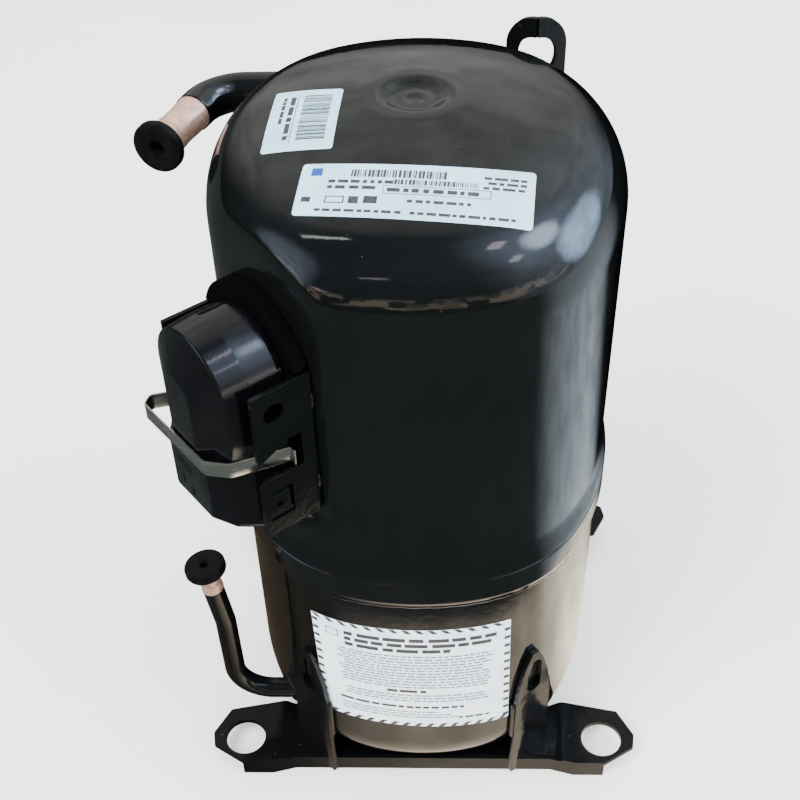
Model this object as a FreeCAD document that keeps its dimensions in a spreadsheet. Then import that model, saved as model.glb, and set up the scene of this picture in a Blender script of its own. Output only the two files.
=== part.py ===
import FreeCAD, Part
import math
import os

import Sketcher

# A hermetic reciprocating compressor: a drawn steel can on two base rails, with a
# spring-hung pump and motor sealed inside.
# Frame: +Z is up, the origin is on the ground under the middle of the can, and -Y is the front.

Vector = FreeCAD.Vector
Rotation = FreeCAD.Rotation
Placement = FreeCAD.Placement

SIZES = [
    # the can, in plan: eight tangent arcs
    ("half_width", 109, "upper shell, outside, from the middle to the side"),
    ("half_depth", 125, "upper shell, outside, from the middle to the front"),
    ("side_arc", 165, "radius of the side arcs"),
    ("end_arc", 150, "radius of the front and rear arcs"),
    ("corner_arc", 78, "radius of the four corner arcs"),
    ("wall", 3.2, "steel of both shells"),
    # the can, in height
    ("shell_top", 422, "middle of the dome"),
    ("crown_radius", 280, "sphere of the dome"),
    ("shoulder", 42, "fillet between the dome and the wall"),
    ("rim_level", 180, "lower edge of the upper shell"),
    ("bell_height", 20, "straight part of the belled rim"),
    ("bell_run", 10, "taper from the bell to the wall"),
    ("bell_flare", 3.1, "how far the bell stands out of the wall"),
    ("bell_slack", 0.3, "inside of the bell, inside the wall line"),
    ("lower_inset", 0.4, "lower shell, inside the wall line"),
    ("lower_top", 199, "upper edge of the lower shell, inside the bell"),
    ("lower_bottom", 5, "underside of the bowl"),
    ("bowl_radius", 40, "fillet under the lower shell"),
    ("bead_size", 2.6, "legs of the seam weld"),
    # the dimple in the dome
    ("dimple_radius", 47, "sphere that presses the dimple"),
    ("dimple_depth", 4, "depth at the middle"),
    # the flat for the terminals
    ("facet_angle", 50, "degrees from the front towards the left"),
    ("facet_distance", 112, "from the can's axis to the flat"),
    ("facet_middle", 16, "middle of the flat along itself"),
    ("facet_low", 217, "lower end of the flat"),
    ("facet_slope", 18, "height of the slope under the flat"),
    ("terminal_height", 320, "centre of the terminal"),
    ("terminal_radius", 22, "body of the terminal"),
    ("terminal_flange", 26, "flange behind the wall"),
    ("pin_circle", 12, "radius of the circle of pins"),
    ("pin_radius", 1.6, "terminal pin"),
    ("bead_radius", 4.5, "glass around a pin"),
    ("pin_out", 20, "pin outside the flat"),
    ("pin_in", 18, "pin inside the flat"),
    # base rails
    ("foot_x", 115.5, "mounting hole from the middle, across"),
    ("foot_y", 100.5, "mounting hole from the middle, in depth"),
    ("foot_hole", 12.7, "radius of a mounting hole"),
    ("rail_sheet", 3.2, "sheet of the rails"),
    ("pad_top", 14, "upper face of a foot"),
    ("strip_drop", 4, "strip between the feet, below the feet"),
    ("tab_width", 27, "upright weld tab"),
    ("tab_top", 114, "tip of a weld tab"),
    ("tab_angle", 52, "normal of a tab, degrees below +X"),
    ("tab_slot_radius", 5.2, "slot in a tab"),
    ("tab_slot_height", 18, "distance between the slot's ends"),
    # lifting lug
    ("lug_top", 411, "top of the arch"),
    ("lug_bottom", 330, "foot of the lug"),
    ("lug_reach", 19, "width of one wing"),
    ("lug_hole", 12.5, "radius of the lifting hole"),
    ("lug_hole_drop", 5, "lifting hole below the middle of the arch"),
    ("lug_sheet", 3.2, "sheet of the lug"),
    # suction side
    ("suction_level", 372, "centre of the suction tube"),
    ("suction_y", 99, "where the suction tube leaves the shell"),
    ("suction_outer", 11.1, "radius of the steel tube"),
    ("suction_bore", 9.6, "bore of the steel tube"),
    ("suction_bend", 28, "bend radius of the suction tube"),
    ("suction_start", 46, "inner end of the suction tube, left of the middle"),
    ("suction_corner", 119, "corner of the bend, left of the middle"),
    ("suction_straight", 8, "straight end of the steel tube"),
    ("suction_turn", 70, "degrees between the tube's two legs"),
    ("suction_stub", 36, "copper in sight"),
    ("suction_copper", 10.3, "radius of the copper stub"),
    ("copper_wall", 1.1, "wall of both copper stubs"),
    ("spigot", 7, "copper inside the steel"),
    # discharge side
    ("discharge_level", 48, "centre of the discharge tube at the shell"),
    ("discharge_y", 86, "discharge tube in front of the middle"),
    ("discharge_outer", 6.35, "radius of the steel tube"),
    ("discharge_bore", 5.2, "bore of the steel tube"),
    ("discharge_corner", 118, "upright leg, left of the middle"),
    ("discharge_bend", 23, "bend radius of the discharge tube"),
    ("discharge_joggle", 116, "height of the second, slight bend"),
    ("discharge_end", 147, "upper end of the steel tube"),
    ("discharge_lean", 0.13, "run over rise above the second bend"),
    ("discharge_stub", 15, "copper in sight"),
    ("plug_gap", 0.06, "play of a plug in its stub"),
    # terminal cover, gasket, brackets and bail
    ("cover_half", 33, "half the width of the cover"),
    ("cover_arch", 325, "centre of the cover's round top"),
    ("cover_low", 240, "underside of the cover"),
    ("cover_depth", 43, "depth of the cover"),
    ("cover_bevel", 13, "bevel around the front"),
    ("cover_skin", 2.4, "wall of the cover"),
    ("gasket_depth", 8, "thickness of the gasket"),
    ("gasket_radius", 42, "outside of the gasket"),
    ("gasket_half", 36.5, "half the width of the gasket between the brackets"),
    ("bracket_at", 39.2, "bracket from the middle of the cover"),
    ("bracket_sheet", 2.4, "sheet of the brackets"),
    ("bracket_low", 245, "lower edge of a bracket"),
    ("bracket_high", 338, "upper edge of a bracket"),
    ("bracket_reach", 34, "how far a bracket stands out"),
    ("bracket_hole", 5.8, "radius of the hole in a bracket"),
    ("bail_width", 9.5, "spring strap"),
    ("bail_sheet", 0.9, "thickness of the spring strap"),
    ("bail_level", 291, "centre of the strap"),
    # labels
    ("label_film", 0.3, "thickness of a label"),
    # pump
    ("axis_level", 112, "centre line of the cylinders"),
    ("crank_throw", 11, "half the stroke"),
    ("bore_radius", 19, "cylinder bore"),
    ("piston_play", 0.03, "radial play of a piston"),
    ("piston_top", 61, "crown of a piston at mid stroke"),
    ("piston_root", 27, "skirt of a piston at mid stroke"),
    ("deck", 72.6, "end of a cylinder"),
    ("gasket_sheet", 0.6, "head gasket"),
    ("valve_sheet", 4, "valve plate"),
    ("head_length", 20, "cylinder head"),
    ("head_half", 31, "half the side of a head"),
    ("case_half", 50, "half the width of the crankcase"),
    ("case_room", 41, "half the width of the crank chamber"),
    ("case_low", 84, "underside of the crankcase"),
    ("case_high", 143, "top of the crank chamber"),
    ("deck_high", 156, "top of the motor deck"),
    ("deck_radius", 80, "motor deck"),
    ("shaft_radius", 12.5, "crankshaft journal"),
    ("bush_wall", 3, "wall of the bearing bushes"),
    ("journal_play", 0.03, "radial play of the crankshaft"),
    ("crankpin_radius", 11, "crankpin"),
    ("web_radius", 25.5, "crank web, round the crankpin"),
    ("slider_half", 17, "half the side of the slider block"),
    ("slider_play", 0.04, "play of the slider block in the yoke"),
    ("yoke_wall", 7, "wall of the yoke beside the slider"),
    # motor
    ("stator_low", 196, "underside of the stator"),
    ("stator_high", 300, "top of the stator"),
    ("stator_radius", 82, "outside of the stator"),
    ("rotor_radius", 42, "outside of the rotor"),
    ("air_gap", 0.5, "between the rotor and the stator"),
    ("winding_outer", 69, "outside of the end windings"),
    ("winding_inner", 47, "inside of the end windings"),
    ("winding_height", 28, "height of an end winding"),
    # springs
    ("spring_x", 56, "spring from the middle, across"),
    ("spring_y", 62, "spring from the middle, in depth"),
    ("spring_radius", 10, "mean radius of a spring"),
    ("spring_wire", 1.5, "radius of the spring wire"),
    ("spring_turns", 6, "turns of a spring"),
    ("spring_low", 14, "lower end of a spring"),
    ("spring_high", 84, "upper end of a spring"),
]

doc = FreeCAD.newDocument("Compressor")
sheet = doc.addObject("Spreadsheet::Sheet", "Sizes")
for row, (alias, amount, meaning) in enumerate(SIZES, start=1):
    sheet.set(f"A{row}", str(amount))
    sheet.set(f"B{row}", meaning)
    sheet.setAlias(f"A{row}", alias)
doc.recompute()

pieces = {}


# ---------------------------------------------------------------- helpers


def size(expression):
    """The value of an expression of the sheet's cells."""
    return float(sheet.evalExpression(str(expression).replace("Sizes.", "")))


def bind(obj, name, expression):
    """Bind a property to an expression of the sheet's cells."""
    obj.setExpression(name, scoped(expression))


def scoped(expression):
    """The expression with every alias written as Sizes.alias."""
    words = []
    word = ""
    for letter in str(expression) + " ":
        if letter.isalnum() or letter in "_.":
            word += letter
            continue
        words.append(f"Sizes.{word}" if word in ALIASES else word)
        words.append(letter)
        word = ""
    return "".join(words).strip()


ALIASES = {alias for alias, _, _ in SIZES}


def keep(name, obj):
    """Name a finished piece; its name is its file's name."""
    obj.Label = name
    pieces[name] = obj
    return obj


def put(obj, x="0", y="0", z="0", rotation=None):
    """Turn an object, and bind its place to expressions."""
    if rotation is not None:
        obj.Placement = Placement(Vector(0, 0, 0), rotation)
    for axis, expression in (("x", x), ("y", y), ("z", z)):
        if str(expression) != "0":
            bind(obj, f"Placement.Base.{axis}", expression)
    return obj


UP = None
ALONG_Y = Rotation(Vector(1, 0, 0), -90)
ALONG_X = Rotation(Vector(0, 1, 0), 90)


def cylinder(radius, height, x="0", y="0", z="0", rotation=UP):
    obj = doc.addObject("Part::Cylinder", "Cylinder")
    bind(obj, "Radius", radius)
    bind(obj, "Height", height)
    return put(obj, x, y, z, rotation)


def cone(low_radius, high_radius, height, x="0", y="0", z="0", rotation=UP):
    obj = doc.addObject("Part::Cone", "Cone")
    bind(obj, "Radius1", low_radius)
    bind(obj, "Radius2", high_radius)
    bind(obj, "Height", height)
    return put(obj, x, y, z, rotation)


def box(length, width, height, x="0", y="0", z="0"):
    """A box from its low corner."""
    obj = doc.addObject("Part::Box", "Box")
    bind(obj, "Length", length)
    bind(obj, "Width", width)
    bind(obj, "Height", height)
    return put(obj, x, y, z)


def centred_box(length, width, height, z="0"):
    """A box centred on the can's axis in plan."""
    return box(length, width, height, f"-({length}) / 2", f"-({width}) / 2", z)


def cut(base, *tools):
    obj = doc.addObject("Part::Cut", "Cut")
    obj.Base = base
    obj.Tool = tools[0] if len(tools) == 1 else fuse(*tools)
    return obj


def fuse(*shapes):
    obj = doc.addObject("Part::MultiFuse", "Fusion")
    obj.Shapes = list(shapes)
    return obj


def common(*shapes):
    obj = doc.addObject("Part::MultiCommon", "Common")
    obj.Shapes = list(shapes)
    return obj


def group(*shapes):
    """Separate solids that stay separate, such as a set of screws."""
    obj = doc.addObject("Part::Compound", "Group")
    obj.Links = list(shapes)
    return obj


def ring(outer, inner, height, x="0", y="0", z="0", rotation=UP):
    return cut(
        cylinder(outer, height, x, y, z, rotation),
        cylinder(inner, height, x, y, z, rotation),
    )


def placed(obj, place):
    """Give a finished boolean its own place."""
    obj.Placement = place
    return obj


def mirror(obj, normal):
    copy = doc.addObject("Part::Mirroring", "Mirror")
    copy.Source = obj
    copy.Normal = normal
    return copy


def sketch(place=Placement()):
    obj = doc.addObject("Sketcher::SketchObject", "Sketch")
    obj.Placement = place
    return obj


def pin_point(sk, curve, point, x, y):
    """Fix a point of a curve by two distances from the sketch's origin."""
    for kind, expression in (("DistanceX", x), ("DistanceY", y)):
        constraint = Sketcher.Constraint(kind, -1, 1, curve, point, size(expression))
        index = sk.addConstraint(constraint)
        sk.setExpression(f"Constraints[{index}]", scoped(expression))


def outline(sk, points):
    """A closed outline of straight lines through points given as expressions."""
    corners = [Vector(size(x), size(y), 0) for x, y in points]
    count = len(corners)
    lines = [
        sk.addGeometry(Part.LineSegment(corners[i], corners[(i + 1) % count]), False)
        for i in range(count)
    ]
    for i, line in enumerate(lines):
        sk.addConstraint(Sketcher.Constraint("Coincident", line, 2, lines[(i + 1) % count], 1))
        pin_point(sk, line, 1, *points[i])
    return sk


def path(sk, points, bend):
    """An open path of straight lines with an arc of one radius at each corner."""
    corners = [Vector(size(x), size(y), 0) for x, y in points]
    radius = size(bend)
    start = corners[0]
    for i in range(1, len(corners) - 1):
        before = (corners[i - 1] - corners[i]).normalize()
        after = (corners[i + 1] - corners[i]).normalize()
        half = before.getAngle(after) / 2
        run = radius / math.tan(half)
        first = corners[i] + before * run
        last = corners[i] + after * run
        middle = (before + after).normalize()
        centre = corners[i] + middle * (radius / math.sin(half))
        sk.addGeometry(Part.LineSegment(start, first), False)
        sk.addGeometry(Part.Arc(first, centre - middle * radius, last), False)
        start = last
    sk.addGeometry(Part.LineSegment(start, corners[-1]), False)
    return sk


def extrude(sk, length, symmetric=False):
    obj = doc.addObject("Part::Extrusion", "Extrusion")
    obj.Base = sk
    obj.DirMode = "Normal"
    obj.Solid = True
    obj.Symmetric = symmetric
    bind(obj, "LengthFwd", length)
    return obj


def revolve(sk):
    """A full turn about the can's axis of a sketch drawn on the XZ plane."""
    obj = doc.addObject("Part::Revolution", "Revolution")
    obj.Source = sk
    obj.Axis = Vector(0, 0, 1)
    obj.Base = Vector(0, 0, 0)
    obj.Angle = 360
    obj.Solid = True
    return obj


def upright(angle=0, at=Vector(0, 0, 0)):
    """The place of a standing sketch: its x runs level at an angle from +X, its y runs up."""
    turn = Rotation(Vector(0, 0, 1), angle) * Rotation(Vector(1, 0, 0), 90)
    return Placement(at, turn)


def sweep(sk, radius):
    """A round bar of a radius along a path."""
    doc.recompute()
    start = sk.Shape.Edges[0]
    low = start.valueAt(start.FirstParameter)
    ring_sketch = doc.addObject("Part::Circle", "Section")
    bind(ring_sketch, "Radius", radius)
    turn = Rotation(Vector(0, 0, 1), start.tangentAt(start.FirstParameter))
    ring_sketch.Placement = Placement(low, turn)
    obj = doc.addObject("Part::Sweep", "Sweep")
    obj.Sections = [ring_sketch]
    obj.Spine = (sk, [f"Edge{i + 1}" for i in range(len(sk.Shape.Edges))])
    obj.Solid = True
    obj.Frenet = False
    obj.Transition = "Right corner"
    return obj


# ---------------------------------------------------------------- the can's plan


def corner_centre():
    """The centre of the corner arcs, tangent to a side arc and an end arc."""
    side_x = size("half_width - side_arc")
    end_y = size("half_depth - end_arc")
    side_gap = size("side_arc - corner_arc")
    end_gap = size("end_arc - corner_arc")
    apart = math.hypot(side_x, end_y)
    along = (side_gap**2 - end_gap**2 + apart**2) / (2 * apart)
    off = math.sqrt(side_gap**2 - along**2)
    to_end = Vector(-side_x / apart, end_y / apart, 0)
    across = Vector(-to_end.y, to_end.x, 0)
    return Vector(side_x, 0, 0) + to_end * along + across * off


def plan(sk, inset):
    """The can's outline, moved inwards by the inset: eight tangent arcs."""
    step = size(inset)
    corner = corner_centre()
    side = Vector(size("half_width - side_arc"), 0, 0)
    end = Vector(0, size("half_depth - end_arc"), 0)
    side_turn = math.degrees(math.atan2(corner.y - side.y, corner.x - side.x))
    end_turn = math.degrees(math.atan2(corner.y - end.y, corner.x - end.x))
    flip_x = Vector(-1, 1, 1)
    flip_y = Vector(1, -1, 1)
    quarter = [
        (side, "side_arc", -side_turn, side_turn),
        (corner, "corner_arc", side_turn, end_turn),
        (end, "end_arc", end_turn, 180 - end_turn),
        (times(corner, flip_x), "corner_arc", 180 - end_turn, 180 - side_turn),
        (times(side, flip_x), "side_arc", 180 - side_turn, 180 + side_turn),
        (times(times(corner, flip_x), flip_y), "corner_arc", 180 + side_turn, 180 + end_turn),
        (times(end, flip_y), "end_arc", 180 + end_turn, 360 - end_turn),
        (times(corner, flip_y), "corner_arc", 360 - end_turn, 360 - side_turn),
    ]
    arcs = []
    for centre, radius, first, last in quarter:
        circle = Part.Circle(centre, Vector(0, 0, 1), size(radius) - step)
        arc = Part.ArcOfCircle(circle, math.radians(first), math.radians(last))
        arcs.append(sk.addGeometry(arc, False))
    for i, arc in enumerate(arcs):
        sk.addConstraint(Sketcher.Constraint("Tangent", arc, 2, arcs[(i + 1) % len(arcs)], 1))
    for arc, (_, radius, _, _) in zip(arcs, quarter):
        index = sk.addConstraint(Sketcher.Constraint("Radius", arc, size(radius) - step))
        sk.setExpression(f"Constraints[{index}]", scoped(f"{radius} - ({inset})"))
    pin_point(sk, arcs[0], 3, "half_width - side_arc", "0")
    pin_point(sk, arcs[2], 3, "0", "half_depth - end_arc")
    pin_point(sk, arcs[4], 3, "side_arc - half_width", "0")
    pin_point(sk, arcs[6], 3, "0", "end_arc - half_depth")
    return sk


def times(vector, factors):
    return Vector(vector.x * factors.x, vector.y * factors.y, vector.z * factors.z)


def prism(inset, low, high):
    """The can's outline as an upright prism."""
    sk = plan(sketch(), inset)
    bind(sk, "Placement.Base.z", low)
    return extrude(sk, f"({high}) - ({low})")


def rounded(obj, edges, radius):
    """A fillet on chosen edges."""
    fillet = doc.addObject("Part::Fillet", "Fillet")
    fillet.Base = obj
    fillet.Edges = [(number, size(radius), size(radius)) for number in edges]
    return fillet


def edge_numbers(obj, test):
    doc.recompute()
    return [i for i, edge in enumerate(obj.Shape.Edges, start=1) if test(edge)]


def domed(inset, low):
    """The can above a level, solid, with its crowned top and rounded shoulder."""
    crown = doc.addObject("Part::Sphere", "Crown")
    bind(crown, "Radius", f"crown_radius - ({inset})")
    bind(crown, "Placement.Base.z", "shell_top - crown_radius")
    body = common(prism(inset, low, "shell_top + 5"), crown)
    above = size(low) + 60
    shoulder = edge_numbers(body, lambda e: min(v.Z for v in e.Vertexes) > above)
    return rounded(body, shoulder, f"shoulder - ({inset})")


def bowl(inset, low):
    """The lower shell, solid, with its rounded bottom."""
    body = prism(inset, low, "lower_top")
    bottom = edge_numbers(body, lambda e: max(v.Z for v in e.Vertexes) < size(low) + 1)
    return rounded(body, bottom, f"bowl_radius - (({inset}) - lower_inset)")


def bell(low_inset, high_inset):
    """The belled rim, solid: a straight part and a taper."""
    rim_top = "rim_level + bell_height"
    straight = prism(low_inset, "rim_level", rim_top)
    lower = plan(sketch(), low_inset)
    bind(lower, "Placement.Base.z", rim_top)
    upper = plan(sketch(), high_inset)
    bind(upper, "Placement.Base.z", f"{rim_top} + bell_run")
    taper = doc.addObject("Part::Loft", "Taper")
    taper.Sections = [lower, upper]
    taper.Solid = True
    taper.Ruled = True
    return fuse(straight, taper)


# ---------------------------------------------------------------- the terminal flat

FACET = math.radians(size("facet_angle"))
OUT = Vector(-math.sin(FACET), -math.cos(FACET), 0)
ACROSS = Vector(math.cos(FACET), -math.sin(FACET), 0)
OUT_HEADING = math.degrees(math.atan2(OUT.y, OUT.x))
ACROSS_HEADING = math.degrees(math.atan2(ACROSS.y, ACROSS.x))
FACET_SPOT = OUT * size("facet_distance") + ACROSS * size("facet_middle")


def facet_place(out=0.0, across=0.0):
    """A place on the flat: x runs across it, y runs up, and z points out of it."""
    return upright(ACROSS_HEADING, FACET_SPOT + OUT * out + ACROSS * across)


def facet_side(across=0.0):
    """A place square to the flat: x runs out of it and y runs up."""
    return upright(OUT_HEADING, FACET_SPOT + ACROSS * across)


def facet_tool(depth):
    """What is pressed flat: everything beyond the flat, with a slope under it."""
    reach = "60"
    profile = outline(
        sketch(facet_side()),
        [
            (f"-({depth})", "facet_low + facet_slope"),
            (f"facet_slope - ({depth})", "facet_low"),
            (reach, "facet_low"),
            (reach, "shell_top + 20"),
            (f"-({depth})", "shell_top + 20"),
        ],
    )
    return extrude(profile, "300", symmetric=True)


def terminal_hole(radius, low, high):
    """A round bar through the flat, from one depth to another."""
    obj = cylinder(radius, f"({high}) - ({low})")
    obj.Placement = facet_place(size(low)) * Placement(Vector(0, size("terminal_height"), 0), Rotation())
    return obj


# ---------------------------------------------------------------- shells


def suction_hole():
    """The suction tube's first leg as a solid bar."""
    return cylinder("suction_outer + 0.05", "80", "-110", "suction_y", "suction_level", ALONG_X)


def discharge_hole():
    return cylinder("discharge_outer + 0.05", "60", "-110", "-discharge_y", "discharge_level", ALONG_X)


def upper_shell():
    outside = fuse(domed("0", "rim_level + bell_height"), bell("-bell_flare", "0"))
    inside = fuse(domed("wall", "rim_level + bell_height"), bell("bell_slack", "wall"))
    flat_outside = cut(outside, facet_tool("0"))
    flat_inside = cut(inside, facet_tool("wall"))
    dimple = doc.addObject("Part::Sphere", "Dimple")
    bind(dimple, "Radius", "dimple_radius")
    bind(dimple, "Placement.Base.z", "shell_top + dimple_radius - dimple_depth")
    dent = doc.addObject("Part::Sphere", "Dent")
    bind(dent, "Radius", "dimple_radius + wall")
    bind(dent, "Placement.Base.z", "shell_top + dimple_radius - dimple_depth")
    skin = cut(cut(flat_outside, dimple), cut(flat_inside, dent))
    openings = (suction_hole(), terminal_hole("terminal_radius + 0.05", "-20", "20"))
    return keep("upper_shell", cut(skin, *openings))


def lower_shell():
    inside = bowl("lower_inset + wall", "lower_bottom + wall")
    outside = bowl("lower_inset", "lower_bottom")
    return keep("lower_shell", cut(outside, inside, discharge_hole()))


def seam_weld():
    """A fillet weld in the corner between the rim and the lower shell."""
    outer = plan(sketch(), "lower_inset - 0.02 - bead_size")
    bind(outer, "Placement.Base.z", "rim_level - 0.02")
    inner = plan(sketch(), "lower_inset - 0.3")
    bind(inner, "Placement.Base.z", "rim_level - 0.02 - bead_size")
    bead = doc.addObject("Part::Loft", "Bead")
    bead.Sections = [inner, outer]
    bead.Solid = True
    bead.Ruled = True
    hollow = prism("lower_inset - 0.02", "rim_level - 6", "rim_level + 2")
    return keep("seam_weld", cut(bead, hollow))


# ---------------------------------------------------------------- base rails


def rail():
    """One base rail at the front: two feet, a lower strip between them, a lip and two weld tabs."""
    half = [
        ("82", "-114.5"),
        ("97", "-118.5"),
        ("116", "-118.5"),
        ("foot_x + 20", "-foot_y - 6"),
        ("foot_x + 21.5", "-foot_y + 3"),
        ("foot_x + 12", "-foot_y + 21"),
        ("foot_x", "-foot_y + 23.5"),
        ("93", "-foot_y + 28"),
        ("66", "-foot_y + 28"),
        ("52", "-92"),
    ]
    mirrored = [(f"-({x})", y) for x, y in reversed(half)]
    shape = extrude(outline(sketch(), half + mirrored), "40")
    bend = "84"
    ramp = "7"
    upper = [
        ("150", "pad_top"),
        (f"{bend} + {ramp}", "pad_top"),
        (bend, "pad_top - strip_drop"),
    ]
    over = upper + [(f"-({x})", z) for x, z in reversed(upper)]
    under = [(x, f"{z} - rail_sheet") for x, z in reversed(over)]
    bent = extrude(outline(sketch(upright()), over + under), "300", symmetric=True)
    plate = common(shape, bent)
    front_edge = half[:3]
    band = [(f"-({x})", y) for x, y in reversed(front_edge)] + front_edge
    back = [(x, f"{y} + rail_sheet") for x, y in reversed(band)]
    lip_top = "pad_top - strip_drop / 2"
    lip = extrude(outline(sketch(), band + back), lip_top)
    tabs = [tab(), mirror(tab(), Vector(1, 0, 0))]
    whole = fuse(plate, lip, *tabs)
    holes = [
        cylinder("foot_hole", "40", f"{sign} * foot_x", "-foot_y", "-5") for sign in ("1", "-1")
    ]
    can = bowl("lower_inset - 0.03", "lower_bottom - 0.03")
    return cut(whole, can, *holes)


def tab():
    """An upright pointed tab with an oval slot, flat against the lower shell's corner."""
    heading = math.radians(size("tab_angle"))
    normal = Vector(math.cos(heading), -math.sin(heading), 0)
    corner = times(corner_centre(), Vector(1, -1, 1))
    wall_point = corner + normal * size("corner_arc - lower_inset + 0.05")
    place = upright(90 - size("tab_angle"), wall_point)
    profile = outline(
        sketch(place),
        [
            ("-tab_width / 2 - 1", "1"),
            ("tab_width / 2 + 1", "1"),
            ("tab_width / 2", "tab_top - 44"),
            ("tab_width / 2 - 2.5", "tab_top - 26"),
            ("tab_width / 2 - 7", "tab_top - 9"),
            ("2.5", "tab_top"),
            ("-2.5", "tab_top"),
            ("7 - tab_width / 2", "tab_top - 9"),
            ("2.5 - tab_width / 2", "tab_top - 26"),
            ("-tab_width / 2", "tab_top - 44"),
        ],
    )
    plate = extrude(profile, "rail_sheet")
    slot = []
    for rise in ("0", "tab_slot_height"):
        end = cylinder("tab_slot_radius", "30")
        local = Vector(0, size("tab_top - 31") + size(rise), -10)
        end.Placement = place * Placement(local, Rotation())
        slot.append(end)
    between = box("2 * tab_slot_radius", "tab_slot_height", "30")
    low = Vector(-size("tab_slot_radius"), size("tab_top - 31"), -10)
    between.Placement = place * Placement(low, Rotation())
    return cut(plate, *slot, between)


def base_rails():
    front = rail()
    keep("front_base_rail", front)
    rear = rail()
    rear_place = Placement(Vector(0, 0, 0), Rotation(Vector(0, 0, 1), 180))
    keep("rear_base_rail", placed(rear, rear_place))


# ---------------------------------------------------------------- lifting lug


def lug_wing(heading, at):
    """One wing: an upright sheet with half an arch on top, and half of the lifting hole."""
    place = upright(heading, at)
    arch = "lug_top - lug_reach"

    def on_wing(obj, x, y, z):
        obj.Placement = place * Placement(Vector(x, y, z), Rotation())
        return obj

    back = -size("lug_sheet") / 2
    blank = on_wing(box("lug_reach", f"{arch} - lug_bottom", "lug_sheet"), 0, size("lug_bottom"), back)
    top = on_wing(cylinder("lug_reach", "lug_sheet"), 0, size(arch), back)
    window = on_wing(box("lug_reach", "lug_top - lug_bottom", "lug_sheet"), 0, size("lug_bottom"), back)
    hole = on_wing(cylinder("lug_hole", "40"), 0, size(f"{arch} - lug_hole_drop"), -20)
    return cut(common(fuse(blank, top), window), hole)


def lifting_lug():
    """A sheet folded to an upright V, its fold welded to the rear right corner of the shell."""
    fold = 52
    normal = Vector(math.cos(math.radians(fold)), math.sin(math.radians(fold)), 0)
    at = corner_centre() + normal * size("corner_arc + lug_sheet / 2 + 0.05")
    half_turn = 61
    middle = 88
    wings = [lug_wing(middle - half_turn, at), lug_wing(middle + half_turn, at)]
    fold_bar = cylinder("lug_sheet / 2", "lug_top - lug_bottom - 2 * lug_hole - 8", at.x, at.y, "lug_bottom")
    near = prism("-0.03", "lug_bottom - 5", "lug_top + 5")
    return keep("lifting_lug", cut(fuse(*wings, fold_bar), near))


# ---------------------------------------------------------------- tubes and plugs


def suction_heading():
    return 180 + size("suction_turn")


def suction_points(extra):
    """The suction tube's path in plan: out to the left, then forward; extra runs past its end."""
    heading = math.radians(suction_heading())
    run = size("suction_bend") * math.tan(math.radians(size("suction_turn")) / 2)
    leg = run + size("suction_straight") + extra
    end_x = -size("suction_corner") + leg * math.cos(heading)
    end_y = size("suction_y") + leg * math.sin(heading)
    return [("-suction_start", "suction_y"), ("-suction_corner", "suction_y"), (end_x, end_y)]


def suction_end():
    """The place of the steel tube's mouth, its z axis along the stub."""
    heading = math.radians(suction_heading())
    x, y = suction_points(0)[-1]
    along = Vector(math.cos(heading), math.sin(heading), 0)
    return Placement(Vector(x, y, size("suction_level")), Rotation(Vector(0, 0, 1), along))


def suction_bar(radius, extra):
    level = sketch(Placement(Vector(0, 0, size("suction_level")), Rotation()))
    return sweep(path(level, suction_points(extra), "suction_bend"), radius)


def suction_tube():
    tube = cut(suction_bar("suction_outer", 0), suction_bar("suction_bore", 1))
    return keep("suction_tube", tube)


def turned(place, profile):
    """A turned piece: its profile holds radius and distance along its own z axis."""
    shape = revolve(outline(sketch(upright()), profile))
    return placed(shape, place)


def stub(place, outer, bore, length):
    """A copper stub: a spigot inside the steel, a sleeve, and a flared mouth."""
    flare = f"{length} - 7"
    profile = [
        (f"{bore} - 0.9", "-spigot"),
        (f"{bore} - 0.9", "1"),
        (f"{outer} - copper_wall", "3"),
        (f"{outer} - copper_wall", flare),
        (f"{outer} - copper_wall + 1.3", length),
        (f"{outer} + 1.3", length),
        (outer, flare),
        (outer, "0.05"),
        (f"{bore} - 0.05", "0.05"),
        (f"{bore} - 0.05", "-spigot"),
    ]
    return turned(place, profile)


def plug(place, outer, flange, length, eye):
    """A rubber plug: a stem in the stub, a flange over its mouth, and a blind eye."""
    stem = f"{outer} - copper_wall - plug_gap"
    profile = [
        ("0", f"{length} - 8"),
        (f"{stem} - 0.8", f"{length} - 14"),
        (stem, f"{length} - 12"),
        (stem, f"{length} - 7"),
        (f"{stem} + 1.2", f"{length} - 0.4"),
        (f"{stem} + 1.2", f"{length} + 0.1"),
        (f"{flange} - 0.6", f"{length} + 0.1"),
        (flange, f"{length} + 1"),
        (flange, f"{length} + 4.6"),
        (f"{flange} - 0.9", f"{length} + 5.5"),
        (eye, f"{length} + 5.5"),
        (eye, f"{length} - 5"),
        ("0", f"{length} - 5"),
    ]
    return turned(place, profile)


def suction_fittings():
    place = suction_end()
    keep("suction_stub", stub(place, "suction_copper", "suction_bore", "suction_stub"))
    keep("suction_plug", plug(place, "suction_copper", "14.8", "suction_stub", "4.3"))


def discharge_points(extra):
    """The discharge tube's path: out to the left, up, and with a slight lean."""
    top = size("discharge_end") + extra
    lean = (top - size("discharge_joggle")) * size("discharge_lean")
    return [
        ("-78", "discharge_level"),
        ("-discharge_corner", "discharge_level"),
        ("-discharge_corner - 1", "discharge_joggle"),
        (f"-discharge_corner - 1 - {lean}", top),
    ]


def discharge_end():
    lean = size("discharge_lean")
    along = Vector(-lean, 0, 1)
    x, z = discharge_points(0)[-1]
    spot = Vector(size(x), -size("discharge_y"), size(z))
    return Placement(spot, Rotation(Vector(0, 0, 1), along))


def discharge_bar(radius, extra):
    standing = sketch(upright(0, Vector(0, -size("discharge_y"), 0)))
    return sweep(path(standing, discharge_points(extra), "discharge_bend"), radius)


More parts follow.
